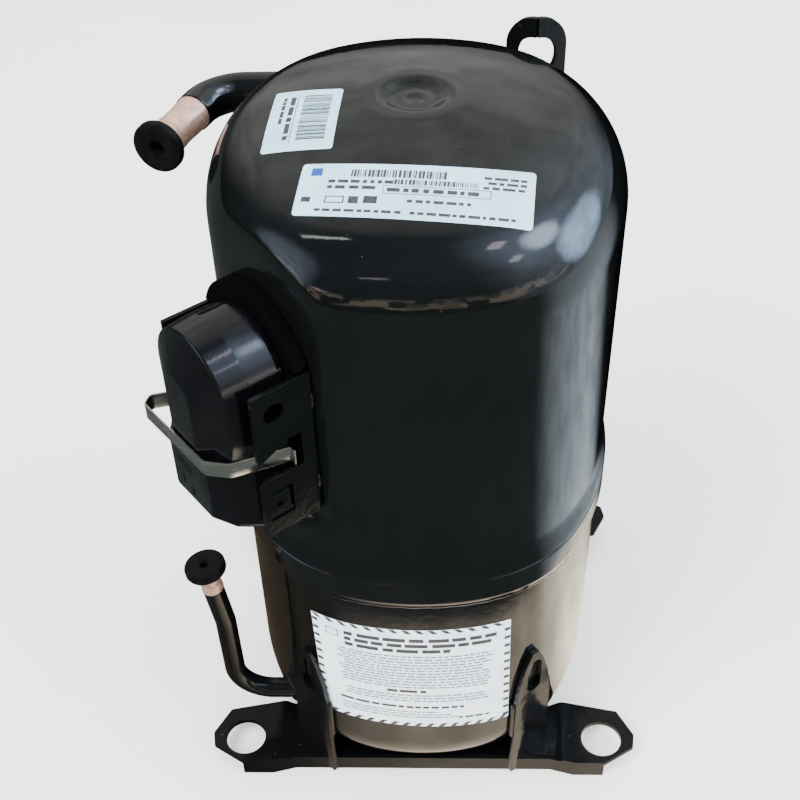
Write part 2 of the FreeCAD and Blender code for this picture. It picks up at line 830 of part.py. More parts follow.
def discharge_fittings():
    tube = cut(discharge_bar("discharge_outer", 0), discharge_bar("discharge_bore", 1))
    keep("discharge_tube", tube)
    place = discharge_end()
    keep("discharge_stub", stub(place, "discharge_outer", "discharge_bore", "discharge_stub"))
    keep("discharge_plug", plug(place, "discharge_outer", "12.2", "discharge_stub", "2.3"))


# ---------------------------------------------------------------- terminal and its cover


def pin_spots():
    """The three pins, as offsets on the flat from the terminal's centre."""
    spots = []
    for i in range(3):
        angle = math.radians(90 + 120 * i)
        spots.append((size("pin_circle") * math.cos(angle), size("pin_circle") * math.sin(angle)))
    return spots


def on_terminal(obj, out, across=0.0, up=0.0):
    local = Placement(Vector(across, size("terminal_height") + up, 0), Rotation())
    obj.Placement = facet_place(out) * local
    return obj


def terminal():
    wall = size("wall")
    body = on_terminal(cylinder("terminal_radius", "wall + 3.1"), -wall - 0.1)
    flange = on_terminal(cylinder("terminal_flange", "3"), -wall - 3.1)
    plate = fuse(body, flange)
    bores, glass, pins = [], [], []
    for across, up in pin_spots():
        depth = -wall - 4
        bores.append(on_terminal(cylinder("bead_radius", "20"), depth, across, up))
        bead = on_terminal(cylinder("bead_radius", "wall + 6.1"), -wall - 3.1, across, up)
        bead_bore = on_terminal(cylinder("pin_radius", "30"), depth - 5, across, up)
        glass.append(cut(bead, bead_bore))
        shank = on_terminal(cylinder("pin_radius", "pin_out + pin_in"), -size("pin_in"), across, up)
        blade = on_terminal(
            box("6.3", "0.8", "8"), size("pin_out - 8"), across - 3.15, up - 0.4
        )
        pins.append(fuse(shank, blade))
    keep("terminal_body", cut(plate, *bores))
    keep("terminal_glass", group(*glass))
    keep("terminal_pins", group(*pins))


def arch(half, low, low_out, depth):
    """An arched block on the flat: straight sides, a flat bottom and a round top."""
    place = facet_place(low_out)
    blank = box(f"2 * ({half})", f"cover_arch - ({low})", depth)
    blank.Placement = place * Placement(Vector(-size(half), size(low), 0), Rotation())
    top = cylinder(half, depth)
    top.Placement = place * Placement(Vector(0, size("cover_arch"), 0), Rotation())
    return fuse(blank, top)


def refined(obj):
    """The same shape with split faces joined."""
    clean = doc.addObject("Part::Refine", "Refined")
    clean.Source = obj
    return clean


def bevelled(obj, out, amount):
    """A chamfer around the edges that lie in one plane parallel to the flat."""
    target = size("facet_distance") + out
    front = edge_numbers(
        obj, lambda e: all(abs(v.Point.dot(OUT) - target) < 0.01 for v in e.Vertexes)
    )
    chamfer = doc.addObject("Part::Chamfer", "Chamfer")
    chamfer.Base = obj
    chamfer.Edges = [(number, size(amount), size(amount)) for number in front]
    return chamfer


def terminal_cover():
    back = size("gasket_depth") + 0.05
    front = size("gasket_depth + cover_depth")
    block = refined(arch("cover_half", "cover_low", back, "cover_depth"))
    shell = bevelled(block, back + size("cover_depth"), "cover_bevel")
    hollow_block = refined(
        arch("cover_half - cover_skin", "cover_low + cover_skin", back, "cover_depth - cover_skin")
    )
    hollow = bevelled(hollow_block, back + size("cover_depth - cover_skin"), "cover_bevel - 1")
    entry = cylinder("7", "20")
    entry.Placement = Placement(
        FACET_SPOT + OUT * (front - 24) + Vector(0, 0, size("cover_low") - 10), Rotation()
    )
    return keep("terminal_cover", cut(shell, hollow, entry))


def terminal_gasket():
    """A foam ring between the flat and the cover."""
    lift = 0.03
    around = common(
        arch("gasket_radius", "cover_low", lift, "gasket_depth"),
        arch("gasket_half", "cover_low + 1", lift - 1, "gasket_depth + 4"),
    )
    crown = common(
        arch("gasket_radius", "cover_low", lift, "gasket_depth"), above_brackets()
    )
    opening = arch("cover_half - 6", "cover_low + 8", lift - 2, "gasket_depth + 6")
    return keep("terminal_gasket", cut(fuse(around, crown), opening))


def above_brackets():
    obj = box("120", "60", "30")
    low = Vector(-60, size("bracket_high + 1.5"), -10)
    obj.Placement = facet_place() * Placement(low, Rotation())
    return obj


def bracket(side):
    """A sheet ear beside the cover, with a hole, an open notch for the bail and a bendable tab."""
    offset = side * size("bracket_at") - size("bracket_sheet") / 2
    sk = sketch(facet_side(offset + size("bracket_sheet") / 2))
    reach = "bracket_reach"
    notch_low = "bail_level - 8"
    notch_high = "bail_level + 9"
    outline(
        sk,
        [
            ("0.05", "bracket_low"),
            (reach, "bracket_low"),
            (reach, f"{notch_low} - 2"),
            (f"{reach} - 3", notch_low),
            ("bracket_reach - 26", notch_low),
            ("bracket_reach - 26", f"{notch_high} + 4"),
            ("bracket_reach - 19", f"{notch_high} + 4"),
            ("bracket_reach - 12", f"{notch_high} + 1"),
            (f"{reach} - 1", f"{notch_high} - 4"),
            (reach, f"{notch_high} - 2"),
            (reach, "bracket_high"),
            ("0.05", "bracket_high"),
        ],
    )
    plate = extrude(sk, "bracket_sheet", symmetric=True)
    place = facet_side(offset)
    hole = cylinder("bracket_hole", "20")
    hole.Placement = place * Placement(
        Vector(size("bracket_reach - 12"), size("bracket_high - 14"), -10), Rotation()
    )
    slots = []
    for x, y, wide, high in (
        ("bracket_reach - 18", "bracket_low + 27", "12", "2"),
        ("bracket_reach - 18", "bracket_low + 10", "14", "2"),
        ("bracket_reach - 18", "bracket_low + 10", "2", "19"),
    ):
        slot = box(wide, high, "20")
        slot.Placement = place * Placement(Vector(size(x), size(y), -10), Rotation())
        slots.append(slot)
    eye = cylinder("2", "20")
    eye.Placement = place * Placement(
        Vector(size("bracket_reach - 10"), size("bracket_low + 19.5"), -10), Rotation()
    )
    return cut(plate, hole, eye, *slots)


def cover_bail():
    """A flat spring strap across the front of the cover, hooked in the brackets' notches."""
    side = "(bracket_at - 4)"
    tip = f"{side} + 8.5"
    hook = "(bracket_reach - 20)"
    chest = "(gasket_depth + cover_depth + 0.1)"
    face = "(cover_half - cover_bevel - 2)"
    inner = [
        (tip, f"{hook} - bail_sheet"),
        (side, f"{hook} - bail_sheet"),
        (side, f"{chest} - 9"),
        (f"{side} - 8", chest),
        (face, chest),
    ]
    outer = [
        (face, f"{chest} + bail_sheet"),
        (f"{side} - 8 + bail_sheet / 2", f"{chest} + bail_sheet"),
        (f"{side} + bail_sheet", f"{chest} - 9 + 0.4 * bail_sheet"),
        (f"{side} + bail_sheet", hook),
        (tip, hook),
    ]
    other_inner = [(f"-({x})", y) for x, y in reversed(inner)]
    other_outer = [(f"-({x})", y) for x, y in reversed(outer)]
    top = FACET_SPOT + Vector(0, 0, size("bail_level + bail_width / 2"))
    turn = Rotation(Vector(0, 0, 1), ACROSS_HEADING) * Rotation(Vector(1, 0, 0), 180)
    sk = outline(sketch(Placement(top, turn)), inner + other_inner + other_outer + outer)
    return keep("cover_bail", extrude(sk, "bail_width"))


# ---------------------------------------------------------------- labels


def film(shape, outside, skin):
    """A thin layer on a surface, where an outline's prism meets it."""
    return common(shape, cut(outside, skin))


def dome_label(name, points):
    outside = domed("-label_film", "rim_level + bell_height")
    skin = domed("-0.02", "rim_level + bell_height")
    sk = outline(sketch(Placement(Vector(0, 0, size("shell_top - 60")), Rotation())), points)
    return keep(name, film(extrude(sk, "80"), outside, skin))


def labels():
    dome_label("barcode_label", [("-71", "18"), ("-36", "9"), ("-39", "-44"), ("-74.5", "-37.5")])
    upper_edge = [("-52", "-52"), ("-6", "-58"), ("26", "-60"), ("57", "-58")]
    lower_edge = [("54", "-91.5"), ("26", "-92"), ("-6", "-90"), ("-56", "-82.5")]
    dome_label("rating_label", upper_edge + lower_edge)
    sk = sketch(upright())
    near_tab = [("-62.5", "154"), ("-59.5", "64")]
    outline(sk, near_tab + [("-13", "62"), ("53.5", "58"), ("52", "154"), ("-11", "158")])
    block = extrude(sk, "200")
    outside = prism("lower_inset - label_film", "50", "rim_level - 10")
    skin = prism("lower_inset - 0.02", "40", "rim_level")
    keep("notice_label", film(block, outside, skin))


# ---------------------------------------------------------------- pump


def across(radius, length, start):
    """A round bar along +Y at the cylinders' height."""
    return cylinder(radius, length, "0", start, "axis_level", ALONG_Y)


def crankcase():
    """The casting: a crank chamber, two cylinders, a main bearing and a motor deck."""
    chamber = centred_box("2 * case_half", "2 * case_half", "case_high - case_low + 1", "case_low")
    barrel = across("bore_radius + 9", "2 * deck", "-deck")
    flanges = [
        box("2 * head_half", "9", "2 * head_half", "-head_half", y, "axis_level - head_half")
        for y in ("-deck", "deck - 9")
    ]
    deck = cylinder("deck_radius", "deck_high - case_high", z="case_high")
    hub = cylinder("shaft_radius + bush_wall + 8", "26", z="deck_high - 1")
    legs = [
        cylinder("5.5", "stator_low - deck_high + 1", x, y, "deck_high - 1")
        for x, y in stator_screw_spots()
    ]
    arms = [
        cylinder("15", "12", f"{sx} * spring_x", f"{sy} * spring_y", "spring_high")
        for sx, sy in corners()
    ]
    webs = [
        box("34", "20", "12", x, y, "spring_high")
        for x, y in (
            ("spring_x - 32", "spring_y - 20"),
            ("-spring_x - 2", "spring_y - 20"),
            ("spring_x - 32", "-spring_y"),
            ("-spring_x - 2", "-spring_y"),
        )
    ]
    studs = [
        cylinder("6.5", "15", f"{sx} * spring_x", f"{sy} * spring_y", "spring_high - 14")
        for sx, sy in corners()
    ]
    solid = fuse(chamber, barrel, *flanges, deck, hub, *legs, *arms, *webs, *studs)
    room = centred_box("2 * case_room", "2 * case_room", "case_high - case_low + 5", "case_low - 5")
    bore = across("bore_radius", "2 * deck + 2", "-deck - 1")
    bush = cylinder("shaft_radius + bush_wall", "120", z="case_high - 20")
    screws = [
        cylinder("2.6", "40", x, y, "stator_low - 30") for x, y in stator_screw_spots()
    ]
    plate_screws = [cylinder("2.6", "14", x, y, "case_low - 1") for x, y in plate_screw_spots()]
    head_screws = [
        cylinder("2.6", "12", x, y, z, ALONG_Y)
        for side in (1, -1)
        for x, y, z in head_screw_spots(side, "deck - 10" if side > 0 else "-deck - 2")
    ]
    return keep("crankcase", cut(solid, room, bore, bush, *screws, *plate_screws, *head_screws))


def corners():
    return [("1", "1"), ("-1", "1"), ("-1", "-1"), ("1", "-1")]


def stator_screw_spots():
    reach = "(stator_radius - 6) * 0.7071"
    return [(f"{sx} * {reach}", f"{sy} * {reach}") for sx, sy in corners()]


def plate_screw_spots():
    return [(f"{sx} * (case_half - 4.5)", f"{sy} * (case_half - 4.5)") for sx, sy in corners()]


def head_screw_spots(side, start):
    reach = "(head_half - 5)"
    return [
        (f"{sx} * {reach}", start, f"axis_level + {sz} * {reach}") for sx, sz in corners()
    ]


def bearing_plate():
    """The lower bearing, screwed under the crank chamber."""
    plate = centred_box("2 * case_half", "2 * case_half", "7.95", "case_low - 8")
    hub = cylinder("shaft_radius + bush_wall + 6", "20", z="case_low - 26")
    bush = cylinder("shaft_radius + bush_wall", "60", z="case_low - 40")
    screws = [cylinder("2.8", "20", x, y, "case_low - 12") for x, y in plate_screw_spots()]
    keep("lower_bearing_plate", cut(fuse(plate, hub), bush, *screws))
    outer = "shaft_radius + bush_wall"
    inner = "shaft_radius + journal_play"
    keep("lower_bush", ring(outer, inner, "26", z="case_low - 26"))
    keep("main_bush", ring(outer, inner, "deck_high + 25 - case_high", z="case_high"))
    keep("bearing_plate_screws", screw_set(plate_screw_spots(), "case_low - 8.05"))


def screw_set(spots, level):
    """Hex screws on upright axes, heads below the level."""
    screws = []
    for x, y in spots:
        head = cylinder("4.6", "3.5", x, y, f"{level} - 3.5")
        shank = cylinder("2.5", "16", x, y, level)
        screws.append(fuse(head, shank))
    return group(*screws)


def cylinder_end(side, name):
    """The gasket, valve plate, reeds, head and screws at one end of the cylinders."""

    def start(near, length):
        return near if side > 0 else f"-({near}) - ({length})"

    def slab(near, thick):
        low_z = "axis_level - head_half"
        return box("2 * head_half", thick, "2 * head_half", "-head_half", start(near, thick), low_z)

    def block(x, wide, near, thick, tall):
        return box(wide, thick, tall, x, start(near, thick), f"axis_level - ({tall}) / 2")

    def bar(radius, near, length, x="0", z="0"):
        return cylinder(radius, length, x, start(near, length), f"axis_level + ({z})", ALONG_Y)

    def screw_bars(radius, near, length):
        reach = "(head_half - 5)"
        return [bar(radius, near, length, f"{sx} * {reach}", f"{sz} * {reach}") for sx, sz in corners()]

    gasket_at = "deck + 0.01"
    plate_at = "deck + gasket_sheet + 0.02"
    head_at = "deck + gasket_sheet + valve_sheet + 0.03"
    cap_at = f"{head_at} + head_length + 0.02"

    gasket = cut(
        slab(gasket_at, "gasket_sheet"),
        bar("bore_radius + 1", gasket_at, "gasket_sheet"),
        *screw_bars("2.8", gasket_at, "gasket_sheet"),
    )
    plate = cut(
        slab(plate_at, "valve_sheet"),
        bar("3.5", plate_at, "valve_sheet", x="9"),
        bar("2.6", plate_at, "valve_sheet", x="-9"),
        block("-3.5", "20", plate_at, "0.45", "10"),
        *screw_bars("2.8", plate_at, "valve_sheet"),
    )
    keep(f"{name}_valve_plate", plate)
    keep(f"{name}_suction_reed", block("-3", "19", f"{plate_at} + 0.02", "0.4", "9"))
    keep(f"{name}_discharge_reed", block("-14", "15", f"{head_at} + 0.02", "0.4", "8"))
    head = cut(
        slab(head_at, "head_length"),
        block("3", "20", head_at, "head_length - 5", "2 * head_half - 20"),
        block("-22", "21", head_at, "head_length - 5", "2 * head_half - 20"),
        block("-2", "3.6", head_at, "1", "9"),
        bar("4", "deck + head_length - 6", "14", x="13"),
        bar("4", "deck + head_length - 6", "14", x="-12"),
        *screw_bars("2.8", head_at, "head_length"),
    )
    keep(f"{name}_head", head)
    shanks = screw_bars("2.5", "deck - 9.5", f"{cap_at} - deck + 10.5")
    caps = screw_bars("4.6", cap_at, "3.5")
    return gasket, [fuse(shank, cap) for shank, cap in zip(shanks, caps)]


def cylinder_ends():
    rear_gasket, rear_screws = cylinder_end(1, "rear")
    front_gasket, front_screws = cylinder_end(-1, "front")
    keep("head_gaskets", group(rear_gasket, front_gasket))
    keep("head_screws", group(*rear_screws, *front_screws))


def yoke_and_pistons():
    """The yoke runs along Y and carries a piston at each end."""
    half_y = "slider_half + slider_play + yoke_wall"
    half_x = "slider_half + crank_throw + 6"
    tall = "20"
    block = box(
        f"2 * ({half_x})", f"2 * ({half_y})", tall,
        f"-({half_x})", f"-({half_y})", "axis_level - 10",
    )
    slot = box(
        "2 * (slider_half + crank_throw + 1)", "2 * (slider_half + slider_play)", "60",
        "-slider_half - crank_throw - 1", "-slider_half - slider_play", "axis_level - 30",
    )
    pistons = {}
    stems = []
    for side, name in ((1, "rear"), (-1, "front")):
        near = "piston_root" if side > 0 else "-piston_top"
        body = across("bore_radius - piston_play", "piston_top - piston_root", near)
        cup_at = "piston_root - 1" if side > 0 else "-piston_root - 15"
        cup = across("bore_radius - 5", "16", cup_at)
        stem_at = f"({half_y}) - 1" if side > 0 else f"-({half_y}) - 27"
        stems.append(across("8", "28", stem_at))
        hole_at = "piston_root" if side > 0 else "-piston_root - 24.5"
        socket = across("8.02", "24.5", hole_at)
        grooves = []
        for back in ("4", "9"):
            groove_at = f"piston_top - {back} - 2" if side > 0 else f"-piston_top + {back}"
            grooves.append(
                cut(across("bore_radius + 2", "2", groove_at), across("bore_radius - 2.4", "2", groove_at))
            )
        pistons[name] = cut(body, cup, socket, *grooves)
    keep("yoke", cut(fuse(block, *stems), slot))
    keep("rear_piston", pistons["rear"])
    keep("front_piston", pistons["front"])
    rings = []
    for side in (1, -1):
        for back in ("4", "9"):
            at = f"piston_top - {back} - 1.9" if side > 0 else f"-piston_top + {back} + 0.1"
            rings.append(
                cut(across("bore_radius - 0.01", "1.8", at), across("bore_radius - 2.3", "1.8", at))
            )
    keep("piston_rings", group(*rings))


def slider_block():
    """The block on the crankpin that slides across the yoke."""
    side = "2 * slider_half"
    block = box(
        side, side, "19", "crank_throw - slider_half", "-slider_half", "axis_level - 9.5"
    )
    bore = cylinder("crankpin_radius + journal_play", "40", "crank_throw", "0", "axis_level - 20")
    return keep("slider_block", cut(block, bore))


def yoke_thrust_ring():
    """A loose wear ring on the yoke, wide enough for the crankpin's travel."""
    inner = "crank_throw + crankpin_radius + 1"
    return keep("yoke_thrust_ring", ring(f"{inner} + 5", inner, "1.2", z="axis_level + 10.05"))


def crankshaft():
    """The shaft, with webs above and below the crankpin and an oil way up its middle."""
    upper = cylinder("shaft_radius", "stator_high + 6 - (axis_level + 11.5)", z="axis_level + 11.5")
    lower = cylinder("shaft_radius", "axis_level - 11.5 - (case_low - 28)", z="case_low - 28")
    webs = [
        cylinder("web_radius", "8", "crank_throw", "0", "axis_level + 11.6"),
        cylinder("web_radius", "8", "crank_throw", "0", "axis_level - 19.6"),
    ]
    pin = cylinder("crankpin_radius", "26", "crank_throw", "0", "axis_level - 13")
    oil_way = cylinder("4", "60", z="case_low - 30")
    shaft = cut(fuse(upper, lower, *webs, pin), oil_way)
    keep("crankshaft", shaft)
    weight = common(
        cylinder("web_radius + 9", "9", z="axis_level + 19.7"),
        box("60", "80", "60", "-64", "-40", "axis_level"),
    )
    hub = cylinder("shaft_radius + 0.02", "60", z="axis_level")
    return weight, hub


def rotating_group():
    weight, hub = crankshaft()
    keep("lower_counterweight", cut(weight, hub))
    core = ring("rotor_radius", "shaft_radius + 0.01", "stator_high - stator_low", z="stator_low")
    bars = [rotor_bar(i, "stator_high - stator_low", "stator_low") for i in range(20)]
    keep("rotor_core", cut(core, *bars))
    cage_bars = [rotor_bar(i, "stator_high - stator_low + 2", "stator_low - 1") for i in range(20)]
    ends = [
        ring("rotor_radius - 1", "rotor_radius - 14", "7", z=z)
        for z in ("stator_high + 0.02", "stator_low - 7.02")
    ]
    keep("rotor_cage", fuse(*ends, *cage_bars))
    top = ring("rotor_radius - 4", "shaft_radius + 0.5", "6", z="stator_high + 7.1")
    half = common(top, box("60", "120", "60", "0", "-60", "stator_high"))
    keep("upper_counterweight", half)
    keep("oil_pickup", oil_pickup())


def rotor_bar(index, height, low):
    angle = 2 * math.pi * index / 20
    reach = size("rotor_radius - 7.5")
    return cylinder("2.4", height, reach * math.cos(angle), reach * math.sin(angle), low)


def oil_pickup():
    """A drawn tube in the shaft's foot that dips in the oil."""
    top = "case_low - 16"
    tip = "lower_bottom + wall + 12"
    tube = cylinder("3.95", f"{top} - (case_low - 30)", z="case_low - 30")
    skirt = cylinder("7", "3", z="case_low - 31.05")
    funnel = cone("3.2", "7", f"case_low - 31.05 - ({tip})", z=tip)
    bore = cylinder("2", "120", z="lower_bottom")
    return cut(fuse(tube, skirt, funnel), bore)


# ---------------------------------------------------------------- motor


def motor():
    stack = "stator_high - stator_low"
    core = cylinder("stator_radius", stack, z="stator_low")
    bore = cylinder("rotor_radius + air_gap", "200", z="stator_low - 20")
    slots = [slot_box(i, "22", "5", "stator_low - 20", "200", "3") for i in range(24)]
    screws = [cylinder("2.8", "200", x, y, "stator_low - 20") for x, y in stator_screw_spots()]
    keep("stator_core", cut(core, bore, *slots, *screws))
    coils = []
    for low in ("stator_high + 0.5", "stator_low - 0.5 - winding_height"):
        coil = ring("winding_outer", "winding_inner", "winding_height", z=low)
        rims = edge_numbers(coil, lambda e: e.Curve.TypeId == "Part::GeomCircle")
        coils.append(rounded(coil, rims, "6"))
    bars = [slot_box(i, "17", "4.6", "stator_low - 3", f"{stack} + 6", "5.5") for i in range(24)]
    keep("stator_winding", fuse(*coils, *bars))
    bolts = []
    for x, y in stator_screw_spots():
        head = cylinder("4.6", "4", x, y, "stator_high + 0.05")
        shank = cylinder("2.5", "stator_high + 1 - (stator_low - 29)", x, y, "stator_low - 29")
        bolts.append(fuse(head, shank))
    keep("stator_screws", group(*bolts))
    keep("motor_protector", motor_protector())


def slot_box(index, deep, wide, low, tall, clear):
    """A bar in one of the stator's slots."""
    obj = box(deep, wide, tall)
    turn = Rotation(Vector(0, 0, 1), 360 / 24 * index)
    corner = turn.multVec(Vector(size(f"rotor_radius + air_gap + {clear}"), -size(wide) / 2, 0))
    obj.Placement = Placement(Vector(corner.x, corner.y, size(low)), turn)
    return obj


def motor_protector():
    """The thermal cut-out, tied on top of the end winding."""
    low = "stator_high + winding_height + 0.6"
    can = box("24", "14", "9", "winding_inner + 1", "-7", low)
    tie = box("6", "14", "2", "winding_inner + 9", "-7", f"{low} + 8.5")
    return fuse(can, tie)


# ---------------------------------------------------------------- springs, leads and pipes


def springs():
    coils, seats = [], []
    room = bowl("lower_inset + wall + 0.03", "lower_bottom + wall + 0.02")
    for sx, sy in corners():
        x = f"{sx} * spring_x"
        y = f"{sy} * spring_y"
        coils.append(coil_spring(size(x), size(y)))
        post = cylinder("6.5", "16", x, y, "lower_bottom + wall")
        foot_height = "spring_low - 0.05 - lower_bottom - wall"
        foot = cylinder("spring_radius + 3", foot_height, x, y, "lower_bottom + wall")
        seats.append(common(fuse(foot, post), room))
    keep("spring_seats", group(*seats))
    keep("suspension_springs", group(*coils))


def coil_spring(x, y):
    """A compression spring as a wire swept along a helix."""
    wire = size("spring_wire")
    low = size("spring_low") + wire + 0.1
    rise = size("spring_high") - size("spring_low") - 2 * wire - 0.2
    helix = Part.makeHelix(rise / size("spring_turns"), rise, size("spring_radius"))
    start = Vector(size("spring_radius"), 0, 0)
    circle = Part.Wire([Part.makeCircle(wire, start, Vector(0, 1, 0))])
    solid = Part.Wire(helix).makePipeShell([circle], True, True)
    obj = doc.addObject("Part::Feature", "Spring")
    obj.Shape = solid
    obj.Placement = Placement(Vector(x, y, low), Rotation())
    return obj


def inner_pipes():
    """The discharge line: a muffler under the motor deck and a looped pipe to the shell."""
    x, y, low = -60, 30, size("case_low + 12")
    can = cylinder("9.9", "case_high - 0.02 - (case_low + 12)", x, y, low)
    room = cylinder("8.4", "case_high - case_low - 16", x, y, low + 2)
    mouth = cylinder("3.25", "20", x, y, low - 10)
    keep("discharge_muffler", cut(can, room, mouth))
    level = size("discharge_level")
    front = -size("discharge_y")
    points = [
        Vector(x, y, low + 3),
        Vector(x, y, low - 12),
        Vector(-78, 8, level + 16),
        Vector(-80, -46, level + 6),
        Vector(-66, -84, level),
        Vector(-71, front, level),
        Vector(-77.9, front, level),
    ]
    spine = Part.Wire([smooth(points)])
    outer = Part.Wire([Part.makeCircle(3.2, points[0], Vector(0, 0, -1))])
    obj = doc.addObject("Part::Feature", "Loop")
    obj.Shape = spine.makePipeShell([outer], True, False)
    return keep("discharge_loop", obj)


def smooth(points):
    """A smooth curve through points."""
    curve = Part.BSplineCurve()
    curve.interpolate(points)
    return curve.toShape()


def leads():
    """Three motor leads from the end winding, and the plug on the terminal's inner pins."""
    plug_block = on_terminal(box("36", "36", "10"), -size("wall") - 15.5, -18, -18)
    holes = []
    wires = []
    for across_by, up in pin_spots():
        holes.append(on_terminal(cylinder("pin_radius + 0.02", "40"), -size("wall") - 30, across_by, up))
    keep("lead_plug", cut(plug_block, *holes))
    for across_by, up in pin_spots():
        away = FACET_SPOT + OUT * (-size("wall") - 16.2) + ACROSS * across_by
        first = Vector(away.x, away.y, size("terminal_height") + up)
        inward = Vector(-OUT.x, -OUT.y, 0)
        heading = math.atan2(first.y, first.x)
        top = size("stator_high + winding_height") + 1.2
        last = Vector(58 * math.cos(heading), 58 * math.sin(heading), top)
        middle = (first + last) * 0.5 + Vector(0, 0, 12 + up * 0.4)
        spine = Part.Wire([smooth([first, first + inward * 3, middle, last + Vector(0, 0, 4), last])])
        circle = Part.Wire([Part.makeCircle(1.5, first, inward)])
        obj = doc.addObject("Part::Feature", "Lead")
        obj.Shape = spine.makePipeShell([circle], True, False)
        wires.append(obj)
    keep("motor_leads", group(*wires))


# ---------------------------------------------------------------- the assembly

upper_shell()
lower_shell()
seam_weld()
base_rails()
lifting_lug()
suction_tube()
suction_fittings()
discharge_fittings()
terminal()
terminal_cover()
terminal_gasket()
keep("near_cover_bracket", bracket(1))
keep("far_cover_bracket", bracket(-1))
cover_bail()
labels()
crankcase()
bearing_plate()
cylinder_ends()
yoke_and_pistons()
slider_block()
yoke_thrust_ring()
rotating_group()
motor()
springs()
inner_pipes()
leads()
doc.recompute()

faults = []
for obj in doc.Objects:
    if any(word in obj.State for word in ("Invalid", "Error")):
        faults.append(f"{obj.Label}: {obj.State}")
for name, obj in pieces.items():
    if obj.Shape.isNull() or not obj.Shape.isValid() or not obj.Shape.Solids:
        faults.append(f"{name}: bad shape")
if faults:
    raise RuntimeError("; ".join(faults))

os.makedirs("parts", exist_ok=True)
for name, obj in pieces.items():
    obj.Shape.exportStep(f"parts/{name}.step")
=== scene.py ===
import bmesh
import bpy
import math
import random

import numpy as np
from mathutils import Matrix, Vector
from mathutils.bvhtree import BVHTree


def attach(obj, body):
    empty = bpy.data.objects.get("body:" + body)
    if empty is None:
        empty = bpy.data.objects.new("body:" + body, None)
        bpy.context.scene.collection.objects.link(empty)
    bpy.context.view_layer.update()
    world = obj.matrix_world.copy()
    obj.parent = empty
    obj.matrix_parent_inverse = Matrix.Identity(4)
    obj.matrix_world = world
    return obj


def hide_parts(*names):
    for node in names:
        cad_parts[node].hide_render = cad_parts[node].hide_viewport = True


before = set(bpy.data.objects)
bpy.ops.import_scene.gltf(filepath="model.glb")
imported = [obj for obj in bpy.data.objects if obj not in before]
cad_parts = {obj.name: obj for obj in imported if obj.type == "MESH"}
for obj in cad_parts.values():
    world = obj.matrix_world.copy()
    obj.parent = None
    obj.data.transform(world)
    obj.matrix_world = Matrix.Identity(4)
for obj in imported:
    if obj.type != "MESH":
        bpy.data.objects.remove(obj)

# A glossy black compressor can on base rails, seen from the front and above.
# Lengths below are in millimetres; MM turns them into the scene's metres.

MM = 0.001
random.seed(7)

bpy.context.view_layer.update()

# ------------------------------------------------------------ sizes shared with the part

HALF_WIDTH, HALF_DEPTH = 109.0, 125.0
SIDE_ARC, END_ARC, CORNER_ARC = 165.0, 150.0, 78.0
SHELL_TOP, CROWN, SHOULDER = 422.0, 280.0, 42.0
RIM, BELL_TOP, BELL_END, FLARE = 180.0, 200.0, 211.0, 3.1
LOWER_INSET, LOWER_TOP, LOWER_BOTTOM, BOWL = 0.4, 199.0, 5.0, 40.0
FACET = math.radians(50)
OUT = np.array([-math.sin(FACET), -math.cos(FACET), 0.0])
ACROSS = np.array([math.cos(FACET), -math.sin(FACET), 0.0])
FACET_AT, FACET_MIDDLE, FACET_LOW, FACET_SLOPE = 112.0, 16.0, 217.0, 18.0

# ------------------------------------------------------------ materials


def material(name):
    mat = bpy.data.materials.new(name)
    mat.use_nodes = True
    tree = mat.node_tree
    shader = tree.nodes["Principled BSDF"]
    return mat, tree, shader


def node(tree, kind, **settings):
    made = tree.nodes.new(kind)
    for key, value in settings.items():
        if key in made.inputs:
            made.inputs[key].default_value = value
        else:
            setattr(made, key.lower(), value)
    return made


def coordinates(tree, stretch=(1, 1, 1)):
    """The place on the object, in millimetres, optionally stretched."""
    where = tree.nodes.new("ShaderNodeTexCoord")
    mapping = tree.nodes.new("ShaderNodeMapping")
    mapping.inputs["Scale"].default_value = [1000 * s for s in stretch]
    tree.links.new(where.outputs["Object"], mapping.inputs["Vector"])
    return mapping.outputs["Vector"]


def noise(tree, scale, detail=3.0, stretch=(1, 1, 1)):
    made = node(tree, "ShaderNodeTexNoise", Scale=scale, Detail=detail, Roughness=0.5)
    tree.links.new(coordinates(tree, stretch), made.inputs["Vector"])
    return made.outputs["Fac"]


def ramp(tree, value, stops):
    """A colour ramp through (position, colour) stops."""
    made = tree.nodes.new("ShaderNodeValToRGB")
    elements = made.color_ramp.elements
    while len(elements) < len(stops):
        elements.new(0.5)
    for element, (position, colour) in zip(elements, stops):
        element.position = position
        element.color = (*colour, 1) if len(colour) == 3 else colour
    tree.links.new(value, made.inputs["Fac"])
    return made.outputs["Color"]


def grey(*levels):
    return [(position, (level,) * 3) for position, level in levels]


def bump(tree, shader, height, strength, distance):
    made = node(tree, "ShaderNodeBump", Strength=strength, Distance=distance * MM)
    tree.links.new(height, made.inputs["Height"])
    tree.links.new(made.outputs["Normal"], shader.inputs["Normal"])
    return made


def maths(tree, operation, first, second=None):
    made = tree.nodes.new("ShaderNodeMath")
    made.operation = operation
    for value, socket in ((first, made.inputs[0]), (second, made.inputs[1])):
        if isinstance(value, (int, float)):
            socket.default_value = value
        elif value is not None:
            tree.links.new(value, socket)
    return made.outputs[0]


def mixed(tree, factor, low, high):
    """A colour between two, by a factor."""
    made = tree.nodes.new("ShaderNodeMix")
    made.data_type = "RGBA"
    tree.links.new(factor, made.inputs["Factor"])
    for value, socket in ((low, made.inputs[6]), (high, made.inputs[7])):
        if isinstance(value, tuple):
            socket.default_value = (*value, 1)
        else:
            tree.links.new(value, socket)
    return made.outputs[2]


